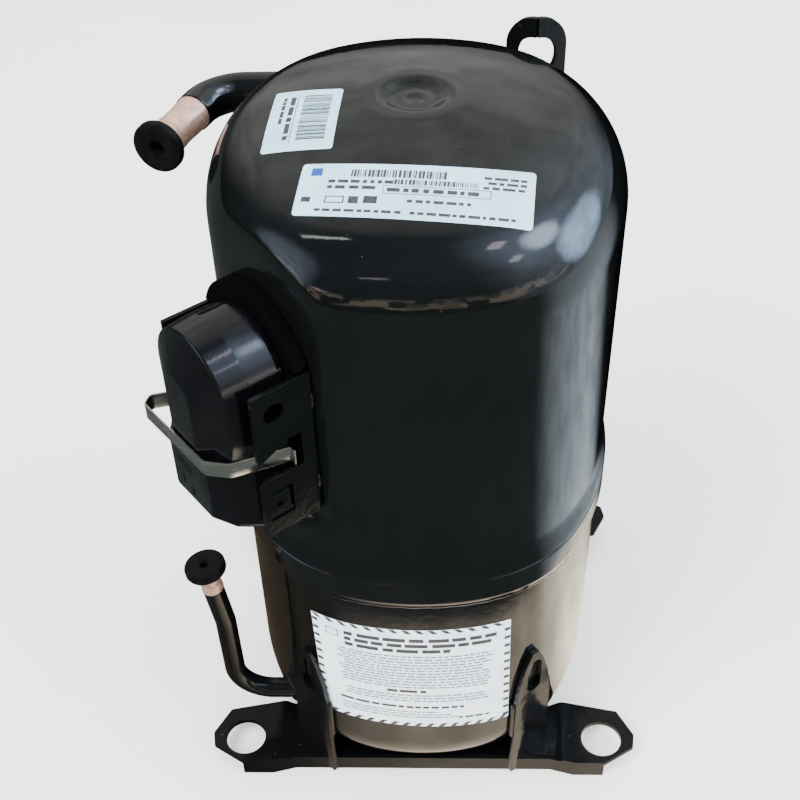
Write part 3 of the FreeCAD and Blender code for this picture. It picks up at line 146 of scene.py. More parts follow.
def specks(tree, scale, size):
    """Sparse small dots, 1 on a dot and 0 elsewhere."""
    cells = node(tree, "ShaderNodeTexVoronoi", Scale=scale, Randomness=1.0)
    tree.links.new(coordinates(tree), cells.inputs["Vector"])
    return ramp(tree, cells.outputs["Distance"], grey((size, 1.0), (size * 1.6, 0.0)))


def black_paint(name, peel=0.12, runs=0.0, dust=1.0, dull=0.0, index=1.53):
    """Glossy black enamel with orange peel, faint dust and uneven gloss."""
    mat, tree, shader = material(name)
    blacks = [(0.3, (0.0016, 0.0019, 0.0021)), (0.75, (0.0032, 0.0036, 0.0038))]
    patch = ramp(tree, noise(tree, 0.012), blacks)
    dots = specks(tree, 0.11, 0.022 * dust)
    colour = mixed(tree, dots, patch, (0.05, 0.047, 0.04))
    tree.links.new(colour, shader.inputs["Base Color"])
    gloss = ramp(tree, noise(tree, 0.03, 5.0), grey((0.35, 0.035 + dull), (0.7, 0.10 + dull)))
    tree.links.new(gloss, shader.inputs["Roughness"])
    shader.inputs["IOR"].default_value = index
    height = noise(tree, 0.16, 2.0)
    if runs:
        height = maths(tree, "ADD", height, noise(tree, 0.05 * runs, 2.0, stretch=(1, 1, 0.25)))
    bump(tree, shader, height, peel, 0.35)
    return mat


def plain(
    name, low, high, rough, scale=0.2, metallic=0.0, grain=0.1, stretch=(1, 1, 1), depth=0.1, index=1.5
):
    """A mottled surface between two colours and two roughnesses, with a grain."""
    mat, tree, shader = material(name)
    pattern = noise(tree, scale, 4.0, stretch)
    tree.links.new(ramp(tree, pattern, [(0.3, low), (0.72, high)]), shader.inputs["Base Color"])
    spread = ramp(tree, noise(tree, scale * 2.3, 3.0, stretch), grey((0.3, rough[0]), (0.7, rough[1])))
    tree.links.new(spread, shader.inputs["Roughness"])
    shader.inputs["Metallic"].default_value = metallic
    shader.inputs["IOR"].default_value = index
    bump(tree, shader, noise(tree, scale * 6, 3.0, stretch), grain, depth)
    return mat


PAINT = black_paint("black_paint")
PAINT_LOWER = black_paint("black_paint_lower", peel=0.16, runs=0.5, dust=0.8)
PAINT_RAIL = black_paint("black_paint_rail", peel=0.45, runs=1.2, dust=1.5, dull=0.05, index=1.30)
PAINT_WELD = black_paint("black_paint_weld", peel=0.7, runs=1.0)
RUBBER = plain(
    "rubber", (0.0012, 0.0012, 0.0015), (0.0035, 0.0035, 0.004), (0.5, 0.7), 0.25, grain=0.3, index=1.25
)
FOAM = plain(
    "foam", (0.0005, 0.0005, 0.0007), (0.0015, 0.0015, 0.0018), (0.85, 0.98), 0.6,
    grain=0.8, depth=0.4, index=1.2
)
PLASTIC = plain(
    "plastic", (0.001, 0.001, 0.0014), (0.002, 0.002, 0.003), (0.07, 0.15), 0.15, grain=0.3, depth=0.08
)
COPPER = plain("copper", (0.66, 0.36, 0.26), (0.90, 0.60, 0.48), (0.25, 0.42), 0.12, 0.72, 0.3, (1, 1, 3))
SPRING = plain(
    "spring_steel", (0.60, 0.58, 0.53), (0.83, 0.81, 0.76), (0.16, 0.34), 0.08, 1.0, 0.2, (1, 1, 8)
)
STEEL = plain("steel", (0.34, 0.35, 0.37), (0.60, 0.61, 0.63), (0.22, 0.42), 0.15, 1.0, 0.25)
ZINC = plain("zinc", (0.50, 0.51, 0.50), (0.74, 0.74, 0.72), (0.2, 0.35), 0.2, 1.0, 0.15)
IRON = plain("iron", (0.05, 0.05, 0.052), (0.13, 0.13, 0.135), (0.5, 0.7), 0.12, 0.7, 0.8, depth=0.3)
SINTERED = plain("sintered", (0.16, 0.16, 0.165), (0.27, 0.27, 0.28), (0.35, 0.5), 0.5, 0.9, 0.4)
BRONZE = plain("bronze", (0.40, 0.26, 0.12), (0.66, 0.47, 0.24), (0.25, 0.4), 0.2, 1.0, 0.2)
DIE_CAST = plain("die_cast", (0.45, 0.46, 0.48), (0.68, 0.69, 0.71), (0.35, 0.55), 0.15, 1.0, 0.5)
LAMINATION = plain(
    "lamination", (0.16, 0.16, 0.18), (0.36, 0.36, 0.38), (0.35, 0.5), 0.9, 0.9, 0.6, (0.2, 0.2, 2)
)
WIRE = plain("winding", (0.24, 0.07, 0.025), (0.56, 0.22, 0.09), (0.25, 0.45), 0.35, 0.6, 0.9, (1, 1, 3), 0.5)
FIBRE = plain("fibre", (0.10, 0.11, 0.12), (0.18, 0.19, 0.20), (0.7, 0.85), 0.5)
GLASS_SEAL = plain("sealing_glass", (0.02, 0.06, 0.07), (0.05, 0.12, 0.14), (0.06, 0.15), 0.4)
PHENOLIC = plain("phenolic", (0.10, 0.03, 0.02), (0.20, 0.07, 0.04), (0.35, 0.5), 0.3)
SLEEVE = plain(
    "sleeve", (0.46, 0.44, 0.37), (0.68, 0.66, 0.57), (0.7, 0.85), 0.8,
    grain=0.9, stretch=(1, 1, 3), depth=0.3
)
FILM = plain("label_film", (0.66, 0.76, 0.84), (0.78, 0.86, 0.92), (0.28, 0.4), 0.05, grain=0.08, depth=0.1)
SILVER_FILM = plain(
    "silver_film", (0.30, 0.50, 0.62), (0.42, 0.64, 0.76), (0.22, 0.34), 0.05, grain=0.08, depth=0.1
)
INK = plain("ink", (0.012, 0.013, 0.017), (0.05, 0.052, 0.06), (0.4, 0.55), 0.9)
INK_GREY = plain("ink_grey", (0.11, 0.12, 0.14), (0.22, 0.23, 0.26), (0.4, 0.55), 0.9)
INK_BLUE = plain("ink_blue", (0.003, 0.03, 0.22), (0.008, 0.06, 0.34), (0.35, 0.5), 0.9)

# ------------------------------------------------------------ pieces


def piece(name, points, faces, mat, body, covers=(), smooth=True):
    """A mesh in millimetres, riding on a body of the part."""
    mesh = bpy.data.meshes.new(name)
    mesh.from_pydata((np.asarray(points, float) * MM).tolist(), [], faces)
    mesh.update()
    mesh.materials.append(mat)
    obj = bpy.data.objects.new(name, mesh)
    bpy.context.scene.collection.objects.link(obj)
    if smooth:
        mesh.polygons.foreach_set("use_smooth", [True] * len(mesh.polygons))
    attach(obj, body)
    if covers:
        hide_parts(*covers)
    return obj


def grid_faces(rows, columns, closed=True, flip=False):
    """Quads between rows of points; closed joins the last column to the first."""
    faces = []
    for r in range(rows - 1):
        for c in range(columns if closed else columns - 1):
            d = (c + 1) % columns
            quad = (r * columns + c, r * columns + d, (r + 1) * columns + d, (r + 1) * columns + c)
            faces.append(quad[::-1] if flip else quad)
    return faces


def dressed(name, mat, body, edge=0.5):
    """A CAD node with softened edges and its own finish."""
    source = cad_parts[name]
    mesh = source.data.copy()
    work = bmesh.new()
    work.from_mesh(mesh)
    bmesh.ops.remove_doubles(work, verts=work.verts, dist=0.00002)
    bmesh.ops.dissolve_limit(
        work, angle_limit=math.radians(0.6), verts=work.verts, edges=work.edges
    )
    work.to_mesh(mesh)
    work.free()
    mesh.materials.clear()
    mesh.materials.append(mat)
    mesh.polygons.foreach_set("use_smooth", [True] * len(mesh.polygons))
    obj = bpy.data.objects.new("fine_" + name, mesh)
    bpy.context.scene.collection.objects.link(obj)
    bevel = obj.modifiers.new("edges", "BEVEL")
    bevel.width = edge * MM
    bevel.segments = 2
    bevel.limit_method = "ANGLE"
    bevel.angle_limit = math.radians(32)
    weighted = obj.modifiers.new("normals", "WEIGHTED_NORMAL")
    weighted.weight = 90
    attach(obj, body)
    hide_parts(name)
    return obj


# ------------------------------------------------------------ the can's plan, smoothed

COLUMNS = 480


def corner_centre():
    side_x, end_y = HALF_WIDTH - SIDE_ARC, HALF_DEPTH - END_ARC
    side_gap, end_gap = SIDE_ARC - CORNER_ARC, END_ARC - CORNER_ARC
    apart = math.hypot(side_x, end_y)
    along = (side_gap**2 - end_gap**2 + apart**2) / (2 * apart)
    off = math.sqrt(side_gap**2 - along**2)
    to_end = np.array([-side_x, end_y]) / apart
    return np.array([side_x, 0]) + to_end * along + np.array([-to_end[1], to_end[0]]) * off


def smooth_plan():
    """Points and normals round the can, with the arcs' curvatures blended into each other."""
    centre = corner_centre()
    side_turn = math.atan2(centre[1], centre[0] - (HALF_WIDTH - SIDE_ARC))
    end_turn = math.atan2(centre[1] - (HALF_DEPTH - END_ARC), centre[0])
    fine = 3600
    heading = (np.arange(fine) + 0.5) * 2 * math.pi / fine
    fold = np.arctan2(np.abs(np.sin(heading)), np.abs(np.cos(heading)))
    radius = np.where(fold < side_turn, SIDE_ARC, np.where(fold < end_turn, CORNER_ARC, END_ARC))
    spread = np.exp(-0.5 * (np.arange(-150, 151) / 50.0) ** 2)
    padded = np.concatenate([radius[-150:], radius, radius[:150]])
    radius = np.convolve(padded, spread / spread.sum(), "valid")
    step = 2 * math.pi / fine
    x = np.cumsum(-radius * np.sin(heading)) * step
    y = np.cumsum(radius * np.cos(heading)) * step
    x, y = x - (x.max() + x.min()) / 2, y - (y.max() + y.min()) / 2
    x, y = x * HALF_WIDTH / x.max(), y * HALF_DEPTH / y.max()
    take = (np.arange(COLUMNS) * fine) // COLUMNS
    points = np.stack([x, y], 1)
    ahead = np.roll(points, -1, 0) - np.roll(points, 1, 0)
    normals = np.stack([ahead[:, 1], -ahead[:, 0]], 1)
    normals /= np.linalg.norm(normals, axis=1)[:, None]
    return points[take], normals[take]


PLAN, PLAN_NORMAL = smooth_plan()


def band(inset, level):
    """One row round the can at an inset and a height."""
    xy = PLAN - inset * PLAN_NORMAL
    return np.column_stack([xy, np.full(COLUMNS, float(level))])


def slerp(a, b, t):
    dot = np.clip((a * b).sum(1), -1, 1)[:, None]
    angle = np.arccos(dot)
    return (np.sin((1 - t) * angle) * a + np.sin(t * angle) * b) / np.maximum(np.sin(angle), 1e-9)


def dome_rows(inset, up_steps, crown_steps):
    """Rows from the top of the wall over the shoulder to the middle of the dome."""
    fillet = SHOULDER - inset
    sphere = CROWN - inset
    base = SHELL_TOP - CROWN
    xy = PLAN - SHOULDER * PLAN_NORMAL
    rise = base + np.sqrt((CROWN - SHOULDER) ** 2 - (xy**2).sum(1))
    centre = np.column_stack([xy, rise])
    level = np.column_stack([PLAN_NORMAL, np.zeros(COLUMNS)])
    steep = (centre - [0, 0, base]) / (CROWN - SHOULDER)
    rows = [centre + fillet * slerp(level, steep, t) for t in np.linspace(0, 1, up_steps)]
    up = np.tile([0.0, 0.0, 1.0], (COLUMNS, 1))
    for t in np.linspace(0, 1, crown_steps)[1:]:
        rows.append(np.array([0, 0, base]) + sphere * slerp(steep, up, min(t, 0.9985)))
    return rows, rise


def soft_step(value, low, high):
    t = np.clip((value - low) / (high - low), 0, 1)
    return t * t * (3 - 2 * t)


def smooth_min(a, b, width):
    """The lower of two values, with a blend where they meet."""
    gap = np.clip(0.5 + 0.5 * (b - a) / width, 0, 1)
    return b * (1 - gap) + a * gap - width * gap * (1 - gap)


def press_facet(points):
    """Flattens the can for the terminals, with a slope under the flat."""
    out = points @ OUT
    plane = FACET_AT + np.clip(FACET_LOW + FACET_SLOPE - points[:, 2], 0, 60)
    plane = np.where(points[:, 2] < FACET_LOW - 3, 400.0, plane)
    pressed = smooth_min(out, plane, 5.0)
    return points + np.outer(pressed - out, OUT)


def press_dimple(points):
    """A round dent in the middle of the dome, with a soft rim and a faint ring round it."""
    reach = np.hypot(points[:, 0], points[:, 1])
    on_top = points[:, 2] > SHELL_TOP - 20
    dent = 3.4 * soft_step(-reach, -20.0, -10.0) + 0.8 * soft_step(-reach, -6.0, -2.0)
    swell = 0.4 * np.exp(-(((reach - 25) / 6) ** 2))
    points = points.copy()
    points[:, 2] -= np.where(on_top, dent - swell, 0)
    return points


def upper_shell():
    dome, rise = dome_rows(0.0, 34, 70)
    rows = [band(1.0, RIM + 8), band(0.0, RIM + 0.9), band(-FLARE + 1.2, RIM), band(-FLARE, RIM + 1.0)]
    rows += [band(-FLARE, level) for level in np.linspace(RIM + 3, BELL_TOP - 2, 7)]
    for t in np.linspace(0, 1, 14):
        ease = t * t * (3 - 2 * t)
        rows.append(band(-FLARE * (1 - ease), BELL_TOP - 2 + t * (BELL_END - BELL_TOP + 4)))
    low = BELL_END + 2
    for t in np.linspace(0, 1, 62)[1:-1]:
        row = band(0.0, low)
        row[:, 2] = low + t * (rise - low)
        rows.append(row)
    rows += dome
    rows = [press_dimple(press_facet(row)) for row in rows]
    points = np.concatenate(rows)
    faces = grid_faces(len(rows), COLUMNS)
    last, hub = (len(rows) - 1) * COLUMNS, len(points)
    points = np.vstack([points, points[last:].mean(0)])
    faces += [(last + c, last + (c + 1) % COLUMNS, hub) for c in range(COLUMNS)]
    return piece("upper_shell_skin", points, faces, PAINT, "housing", ["upper_shell"])


def lower_shell():
    rows = [band(LOWER_INSET + 3.2, LOWER_TOP), band(LOWER_INSET, LOWER_TOP)]
    rows += [band(LOWER_INSET, level) for level in np.linspace(LOWER_TOP - 4, LOWER_BOTTOM + BOWL, 60)]
    for turn in np.linspace(0, math.pi / 2, 26)[1:]:
        inset = LOWER_INSET + BOWL * (1 - math.cos(turn))
        rows.append(band(inset, LOWER_BOTTOM + BOWL * (1 - math.sin(turn))))
    edge = PLAN - (LOWER_INSET + BOWL) * PLAN_NORMAL
    for t in np.linspace(1, 0.02, 12)[1:]:
        rows.append(np.column_stack([edge * t, np.full(COLUMNS, LOWER_BOTTOM)]))
    points = np.concatenate(rows)
    faces = grid_faces(len(rows), COLUMNS, flip=True)
    last = (len(rows) - 1) * COLUMNS
    faces.append(tuple(last + c for c in reversed(range(COLUMNS))))
    return piece("lower_shell_skin", points, faces, PAINT_LOWER, "housing", ["lower_shell"])


def ripple(count, size, seed):
    """An uneven closed row of small heights, such as the pulses of a weld."""
    own = np.random.default_rng(seed)
    steps = np.arange(count)
    waves = np.sin(steps * 2 * math.pi * round(count / 7.3) / count)
    slow = np.interp(steps, np.linspace(0, count, 38), own.normal(0, 1, 38))
    return size * (0.55 * waves + 0.45 * slow)


def seam_weld():
    """The bead in the corner between the two shells, with fine ripples."""
    rows = []
    ripples = ripple(COLUMNS, 0.22, 3)
    for turn in np.linspace(0, 2 * math.pi, 13)[:-1]:
        radius = 2.0 + ripples
        out = (radius * math.cos(turn))[:, None] * PLAN_NORMAL
        level = RIM - 0.9 + radius * math.sin(turn)
        rows.append(np.column_stack([PLAN + 0.6 * PLAN_NORMAL + out, level]))
    rows.append(rows[0])
    faces = grid_faces(len(rows), COLUMNS)
    return piece("seam_bead", np.concatenate(rows), faces, PAINT_WELD, "housing", ["seam_weld"])


upper = upper_shell()
lower = lower_shell()
seam_weld()


def tree_of(obj):
    corners = [vertex.co.copy() for vertex in obj.data.vertices]
    return BVHTree.FromPolygons(corners, [tuple(face.vertices) for face in obj.data.polygons])


UPPER_TREE, LOWER_TREE = tree_of(upper), tree_of(lower)


def touch(tree, start, direction):
    """Where a ray meets a surface, and the surface's normal there, in millimetres."""
    spot, normal, _, _ = tree.ray_cast(Vector(start) * MM, Vector(direction))
    normal = np.array(normal)
    if normal @ np.array(direction, float) > 0:
        normal = -normal
    return np.array(spot) / MM, normal


# ------------------------------------------------------------ bars, tubes and welds


def frames_along(points):
    """Tangents and side vectors along a path that don't twist."""
    points = np.asarray(points, float)
    tangents = np.gradient(points, axis=0)
    tangents /= np.linalg.norm(tangents, axis=1)[:, None]
    side = np.cross(tangents[0], [0.31, 0.17, 0.93])
    side /= np.linalg.norm(side)
    sides = []
    for tangent in tangents:
        side = side - tangent * (side @ tangent)
        side /= np.linalg.norm(side)
        sides.append(side)
    sides = np.array(sides)
    return tangents, sides, np.cross(tangents, sides)


def rounded_path(corners, bend, step=1.0):
    """Points along straight legs joined by arcs."""
    corners = [np.array(c, float) for c in corners]
    pieces, start = [], corners[0]

    def leg(end):
        return max(2, int(np.linalg.norm(end - start) / step))

    for i in range(1, len(corners) - 1):
        before = corners[i - 1] - corners[i]
        after = corners[i + 1] - corners[i]
        before, after = before / np.linalg.norm(before), after / np.linalg.norm(after)
        half = math.acos(np.clip(before @ after, -1, 1)) / 2
        radius = bend[i - 1] if isinstance(bend, (list, tuple)) else bend
        run = radius / math.tan(half)
        first, last = corners[i] + before * run, corners[i] + after * run
        middle = (before + after) / np.linalg.norm(before + after)
        centre = corners[i] + middle * radius / math.sin(half)
        pieces.append(np.linspace(start, first, leg(first), endpoint=False))
        a, b = (first - centre) / radius, (last - centre) / radius
        swing = math.acos(np.clip(a @ b, -1, 1))
        turns = np.linspace(0, 1, max(4, int(swing * radius / step)), endpoint=False)[:, None]
        arc = np.sin((1 - turns) * swing) * a + np.sin(turns * swing) * b
        pieces.append(centre + radius * arc / math.sin(swing))
        start = last
    pieces.append(np.linspace(start, corners[-1], leg(corners[-1])))
    return np.concatenate(pieces)


def tube_points(path, radii, around=48):
    """Rings round a path; radii may change along it."""
    _, side, other = frames_along(path)
    radii = np.broadcast_to(radii, (len(path),))
    turns = np.arange(around) * 2 * math.pi / around
    return [
        path[i] + radii[i] * (np.outer(np.cos(turns), side[i]) + np.outer(np.sin(turns), other[i]))
        for i in range(len(path))
    ]


def painted_tube(name, path, radius, bore, covers):
    """A round hollow tube."""
    rings = tube_points(path, radius) + tube_points(path, bore)[::-1]
    rings.append(rings[0])
    faces = grid_faces(len(rings), len(rings[0]), flip=True)
    return piece(name, np.concatenate(rings), faces, PAINT, "housing", covers)


def weld_bead(name, path, width, closed=False, seed=1):
    """A rippled bead along a path."""
    path = np.asarray(path, float)
    if closed:
        path = np.vstack([path, path[:1]])
    own = np.random.default_rng(seed)
    length = np.concatenate([[0], np.cumsum(np.linalg.norm(np.diff(path, axis=0), axis=1))])
    count = max(8, int(length[-1] / 0.5))
    at = np.linspace(0, length[-1], count)
    path = np.column_stack([np.interp(at, length, path[:, k]) for k in range(3)])
    drift = np.interp(at, np.linspace(0, length[-1], 9), own.normal(0, 1, 9))
    pulses = 1 + 0.10 * np.sin(at * 2 * math.pi / 2.1) + 0.08 * drift
    if not closed:
        ends = np.minimum(at, length[-1] - at) / width
        pulses *= np.sqrt(np.clip(ends, 0.02, 1))
    rings = tube_points(path, width / 2 * pulses, 14)
    points = np.concatenate(rings)
    faces = grid_faces(len(rings), 14, flip=True)
    return piece(name, points, faces, PAINT_WELD, "housing")


def circle_on(tree, centre, direction, radius, count=48):
    """The line where a round bar meets a surface, along the bar's direction."""
    direction = np.array(direction, float)
    side = np.cross(direction, [0.2, 0.3, 0.9])
    side /= np.linalg.norm(side)
    other = np.cross(direction, side)
    spots = []
    for turn in np.arange(count) * 2 * math.pi / count:
        start = np.array(centre, float) + radius * (math.cos(turn) * side + math.sin(turn) * other)
        spot, _ = touch(tree, start - direction * 70, direction)
        spots.append(spot)
    return spots


# ------------------------------------------------------------ suction and discharge

SUCTION_HEADING = math.radians(250)
SUCTION_AXIS = np.array([math.cos(SUCTION_HEADING), math.sin(SUCTION_HEADING), 0.0])
run = 28 * math.tan(math.radians(35)) + 8
suction_corner = np.array([-119.0, 99.0, 372.0])
suction_mouth = suction_corner + SUCTION_AXIS * run
suction_path = rounded_path([(-46, 99, 372), suction_corner, suction_mouth], 28)
painted_tube("suction_pipe", suction_path, 11.1, 9.6, ["suction_tube"])
weld_bead("suction_ring", circle_on(UPPER_TREE, (-80, 99, 372), (1, 0, 0), 11.4), 4.2, True, seed=4)


def turned(name, profile, base, axis, mat, covers, body, around=64):
    """A turned piece from (radius, distance) pairs along an axis."""
    axis = np.array(axis, float) / np.linalg.norm(axis)
    side = np.cross(axis, [0.1, 0.2, 0.97] if abs(axis[2]) < 0.9 else [1.0, 0, 0])
    side /= np.linalg.norm(side)
    other = np.cross(axis, side)
    turns = np.arange(around) * 2 * math.pi / around
    spokes = np.outer(np.cos(turns), side) + np.outer(np.sin(turns), other)
    rows = [np.array(base, float) + axis * along + radius * spokes for radius, along in profile]
    points = np.concatenate(rows)
    return piece(name, points, grid_faces(len(rows), around), mat, body, covers)


def curve_through(stops, count):
    """A smooth curve of (radius, distance) through stops."""
    stops = np.array(stops, float)
    at = np.linspace(0, len(stops) - 1, count)
    index = np.arange(len(stops))
    eased = np.floor(at) + soft_step(at - np.floor(at), 0, 1)
    radius = np.interp(eased, index, stops[:, 0])
    along = np.interp(at, index, stops[:, 1])
    return list(zip(radius, along))


def copper_stub(name, base, axis, outer, length, covers):
    """A drawn copper stub, a little waisted, with a rolled and flared mouth."""
    stops = [(0.25, -0.5), (0, 4), (-0.35, length * 0.5), (0.1, length - 9), (1.2, length - 2)]
    mouth = [(1.45, length - 0.6), (1.3, length), (0.6, length + 0.05), (-0.2, length - 0.6)]
    inside = [(-1.1, length - 7), (-1.1, 3), (-1.8, 1), (-1.8, -6)]
    steps = [(-1.8, -6), (-0.9, -6), (-0.9, -0.5)] + curve_through(stops, 26) + mouth + inside
    profile = [(outer + grown, along) for grown, along in steps]
    return turned(name, profile, base, axis, COPPER, covers, "housing")


def rubber_plug(name, base, axis, outer, flange, length, eye, covers, body):
    """A moulded plug with a rounded flange, a stem in the stub and a blind eye."""
    stem = outer - 1.2
    profile = [
        (0.05, -8), (stem - 1.0, -14), (stem, -12), (stem, -7), (stem + 1.1, -0.4), (stem + 1.2, 0.1),
        (flange - 0.9, 0.1), (flange - 0.3, 0.4), (flange, 1.1), (flange, 4.4), (flange - 0.25, 5.1),
        (flange - 0.9, 5.5), (flange - 3.0, 5.62), (eye + 1.0, 5.5), (eye + 0.25, 5.25), (eye, 4.5),
        (eye - 0.3, -4.5), (0.05, -5),
    ]
    profile = [(radius, length + along) for radius, along in profile]
    return turned(name, profile, base, axis, RUBBER, covers, body)


copper_stub("suction_copper", suction_mouth, SUCTION_AXIS, 10.3, 36, ["suction_stub"])
rubber_plug("suction_bung", suction_mouth, SUCTION_AXIS, 10.3, 14.8, 36, 4.3, ["suction_plug"], "suction_cap")

lean = (147 - 116) * 0.13
discharge_corners = [(-78, -86, 48), (-118, -86, 48), (-119, -86, 116), (-119 - lean, -86, 147)]
discharge_path = rounded_path(discharge_corners, [23, 23])
DISCHARGE_AXIS = np.array([-0.13, 0, 1.0]) / math.hypot(0.13, 1)
painted_tube("discharge_pipe", discharge_path, 6.35, 5.2, ["discharge_tube"])
weld_bead("discharge_ring", circle_on(LOWER_TREE, (-82, -86, 48), (1, 0, 0), 6.8), 4.0, True, seed=5)
copper_stub("discharge_copper", discharge_corners[-1], DISCHARGE_AXIS, 6.35, 15, ["discharge_stub"])
rubber_plug(
    "discharge_bung", discharge_corners[-1], DISCHARGE_AXIS, 6.35, 12.2, 15, 2.3, ["discharge_plug"],
    "discharge_cap"
)

# ------------------------------------------------------------ rails, lug and brackets

for rail in ("front_base_rail", "rear_base_rail"):
    dressed(rail, PAINT_RAIL, "housing", 0.9)
dressed("lifting_lug", PAINT_RAIL, "housing", 0.7)
for bracket in ("near_cover_bracket", "far_cover_bracket"):
    dressed(bracket, PAINT_RAIL, "housing", 0.35)


def heading_vector(degrees):
    return np.array([math.cos(math.radians(degrees)), math.sin(math.radians(degrees)), 0.0])


def upright_bead(name, spot, low, high, width, seed):
    """A short upright bead of weld."""
    levels = np.linspace(low, high, 12)
    weld_bead(name, [np.array([spot[0], spot[1], level]) for level in levels], width, seed=seed)


def tab_welds():
    """Two beads beside each of the rails' four upright tabs."""
    centre = corner_centre()
    for number, (sx, sy) in enumerate(((1, -1), (-1, -1), (1, 1), (-1, 1))):
        flip = np.array([sx, sy, 1.0])
        normal = heading_vector(52) * flip
        along = heading_vector(-38) * flip
        root = np.array([*centre, 0.0]) * flip + normal * (CORNER_ARC - 0.1)
        for side in (-1, 1):
            spot = root + along * side * 13.2
            upright_bead(f"tab_weld_{number}_{side + 1}", spot, 36, 72, 3.4, 20 + number)


def lug_welds():
    root = np.array([*corner_centre(), 0.0]) + heading_vector(52) * (CORNER_ARC + 0.9)
    for side in (-1, 1):
        spot = root + heading_vector(142) * side * 2.6
        upright_bead(f"lug_weld_{side + 1}", spot, 334, 366, 3.6, 30 + side)


def bracket_welds():
    for number, across in enumerate((-40.6, -37.9, 37.9, 40.6)):
        spot = OUT * (FACET_AT + 0.5) + ACROSS * (FACET_MIDDLE + across)
        for level in (262, 316):
            upright_bead(f"bracket_weld_{number}_{level}", spot, level, level + 9, 2.8, level + number)


tab_welds()
lug_welds()
bracket_welds()

# ------------------------------------------------------------ terminal cover, gasket and bail


def on_facet(out, across, up):
    """A point from its distance out of the flat, across it, and up."""
    return OUT * (FACET_AT + out) + ACROSS * (FACET_MIDDLE + across) + np.array([0, 0, up])


def cover_row(out, middle, front, swell=0.0):
    """One row round the cover at a depth.

    The side tapers a little (middle runs 0 to 1), then a broad facet (front runs 0 to 1) leads to
    the flat face, which is a narrow arch above the strap and wider below it.
    """
    half, low, centre = 33 + swell, 240 - swell, 325

    def side(up):
        taper = 1.4 + 4.6 * (1 - soft_step(up, 284, 312))
        face = 15.5 + 6.5 * soft_step(up, 288, 294)
        return middle * taper + front * (face - taper)

    bottom = low + 6 * middle + 7 * front
    round_by = 7 - 2 * middle - 3 * front
    top = half - side(centre)
    points = [(top * math.cos(t), centre + top * math.sin(t)) for t in np.linspace(0, math.pi, 61)]
    above, step_down = np.linspace(centre, 296, 12)[1:], np.linspace(294, 288, 9)
    levels = np.concatenate([above, step_down, np.linspace(286, bottom + round_by, 20)])
    points += [(side(up) - half, up) for up in levels]
    inner = half - side(240) - round_by
    turns = np.linspace(0, math.pi / 2, 9)[1:]
    points += [(-inner - round_by * math.cos(t), bottom + round_by * (1 - math.sin(t))) for t in turns]
    points += [(across, bottom) for across in np.linspace(-inner, inner, 24)[1:]]
    points += [(inner + round_by * math.sin(t), bottom + round_by * (1 - math.cos(t))) for t in turns]
    points += [(half - side(up), up) for up in levels[::-1][1:]]
    return np.array([on_facet(out, across, up) for across, up in points])


def terminal_cover():
    """A moulded cap with a tapered side, broad facets and a stepped flat face."""
    rows = [cover_row(8.05, 0, 0, -2.4), cover_row(8.05, 0, 0, -0.4), cover_row(8.4, 0, 0, -0.05)]
    rows += [cover_row(out, 0, 0) for out in (9, 12, 16, 20, 24, 27.4)]
    rows += [cover_row(28 + 14 * t, t, 0) for t in (0.02, 0.06, 0.2, 0.35, 0.5, 0.65, 0.8, 0.92, 0.97)]
    rows += [cover_row(42 + 9 * t, 1, t) for t in (0.01, 0.04, 0.12, 0.25, 0.4, 0.55, 0.7, 0.85, 0.95)]
    rows += [cover_row(50.85, 1, 0.985), cover_row(50.97, 1, 1.0), cover_row(51, 1, 1.03)]
    points = np.concatenate(rows)
    count = len(rows[0])
    faces = grid_faces(len(rows), count, flip=True)
    last = (len(rows) - 1) * count
    hub = len(points)
    points = np.vstack([points, on_facet(51, 0, 300)])
    faces += [(hub, last + (c + 1) % count, last + c) for c in range(count)]
    return piece("cover_cap", points, faces, PLASTIC, "cover", ["terminal_cover"])


def facet_block(name, out, across, up, size_out, size_across, size_up, mat, body, edge=0.4, taper=0.8):
    """A small raised block on the cover's front."""
    corners = []
    for o, k in ((out, 1.0), (out + size_out, taper)):
        for a, u in ((-1, -1), (1, -1), (1, 1), (-1, 1)):
            corners.append(on_facet(o, across + a * k * size_across / 2, up + u * k * size_up / 2))
    faces = [(3, 2, 1, 0), (4, 5, 6, 7), (0, 1, 5, 4), (1, 2, 6, 5), (2, 3, 7, 6), (3, 0, 4, 7)]
    obj = piece(name, corners, faces, mat, body, smooth=False)
    rounding = obj.modifiers.new("edges", "BEVEL")
    rounding.width = edge * MM
    rounding.segments = 2
    return obj


def cover_bail():
    """The bright spring strap, with rolled corners and hooked ends."""
    near = [(41.6, 13.6), (37.8, 13.8), (28.8, 43.6), (19.2, 52.0)]
    far = [(-37.0, 52.6), (-41.0, 47.0), (-35.4, 35.0), (-37.2, 13.8), (-41.6, 13.6)]
    corners = near + far
    bends = [1.2, 6.0, 4.0, 3.2, 3.2, 5.0, 1.2]
    path = rounded_path([(a, o, 0.0) for a, o in corners], bends, 0.8)
    along, _, _ = frames_along(path)
    across_path = np.cross(along, [0, 0, 1.0])
    rows = []
    lower_half = [(-0.45, -4.55), (-0.33, -4.75), (0.33, -4.75), (0.45, -4.55)]
    profile = lower_half + [(-t, -h) for t, h in lower_half]
    for spot, aside in zip(path, across_path):
        rows.append([on_facet(spot[1] + aside[1] * t, spot[0] + aside[0] * t, 291 + h) for t, h in profile])
    points = np.concatenate([np.array(r) for r in rows])
    count = len(profile)
    faces = grid_faces(len(rows), count, flip=True)
    last = (len(rows) - 1) * count
    faces += [tuple(range(count)), tuple(last + c for c in reversed(range(count)))]
    obj = piece("bail_strap", points, faces, SPRING, "bail", ["cover_bail"])
    obj.data.set_sharp_from_angle(angle=math.radians(40))
    return obj


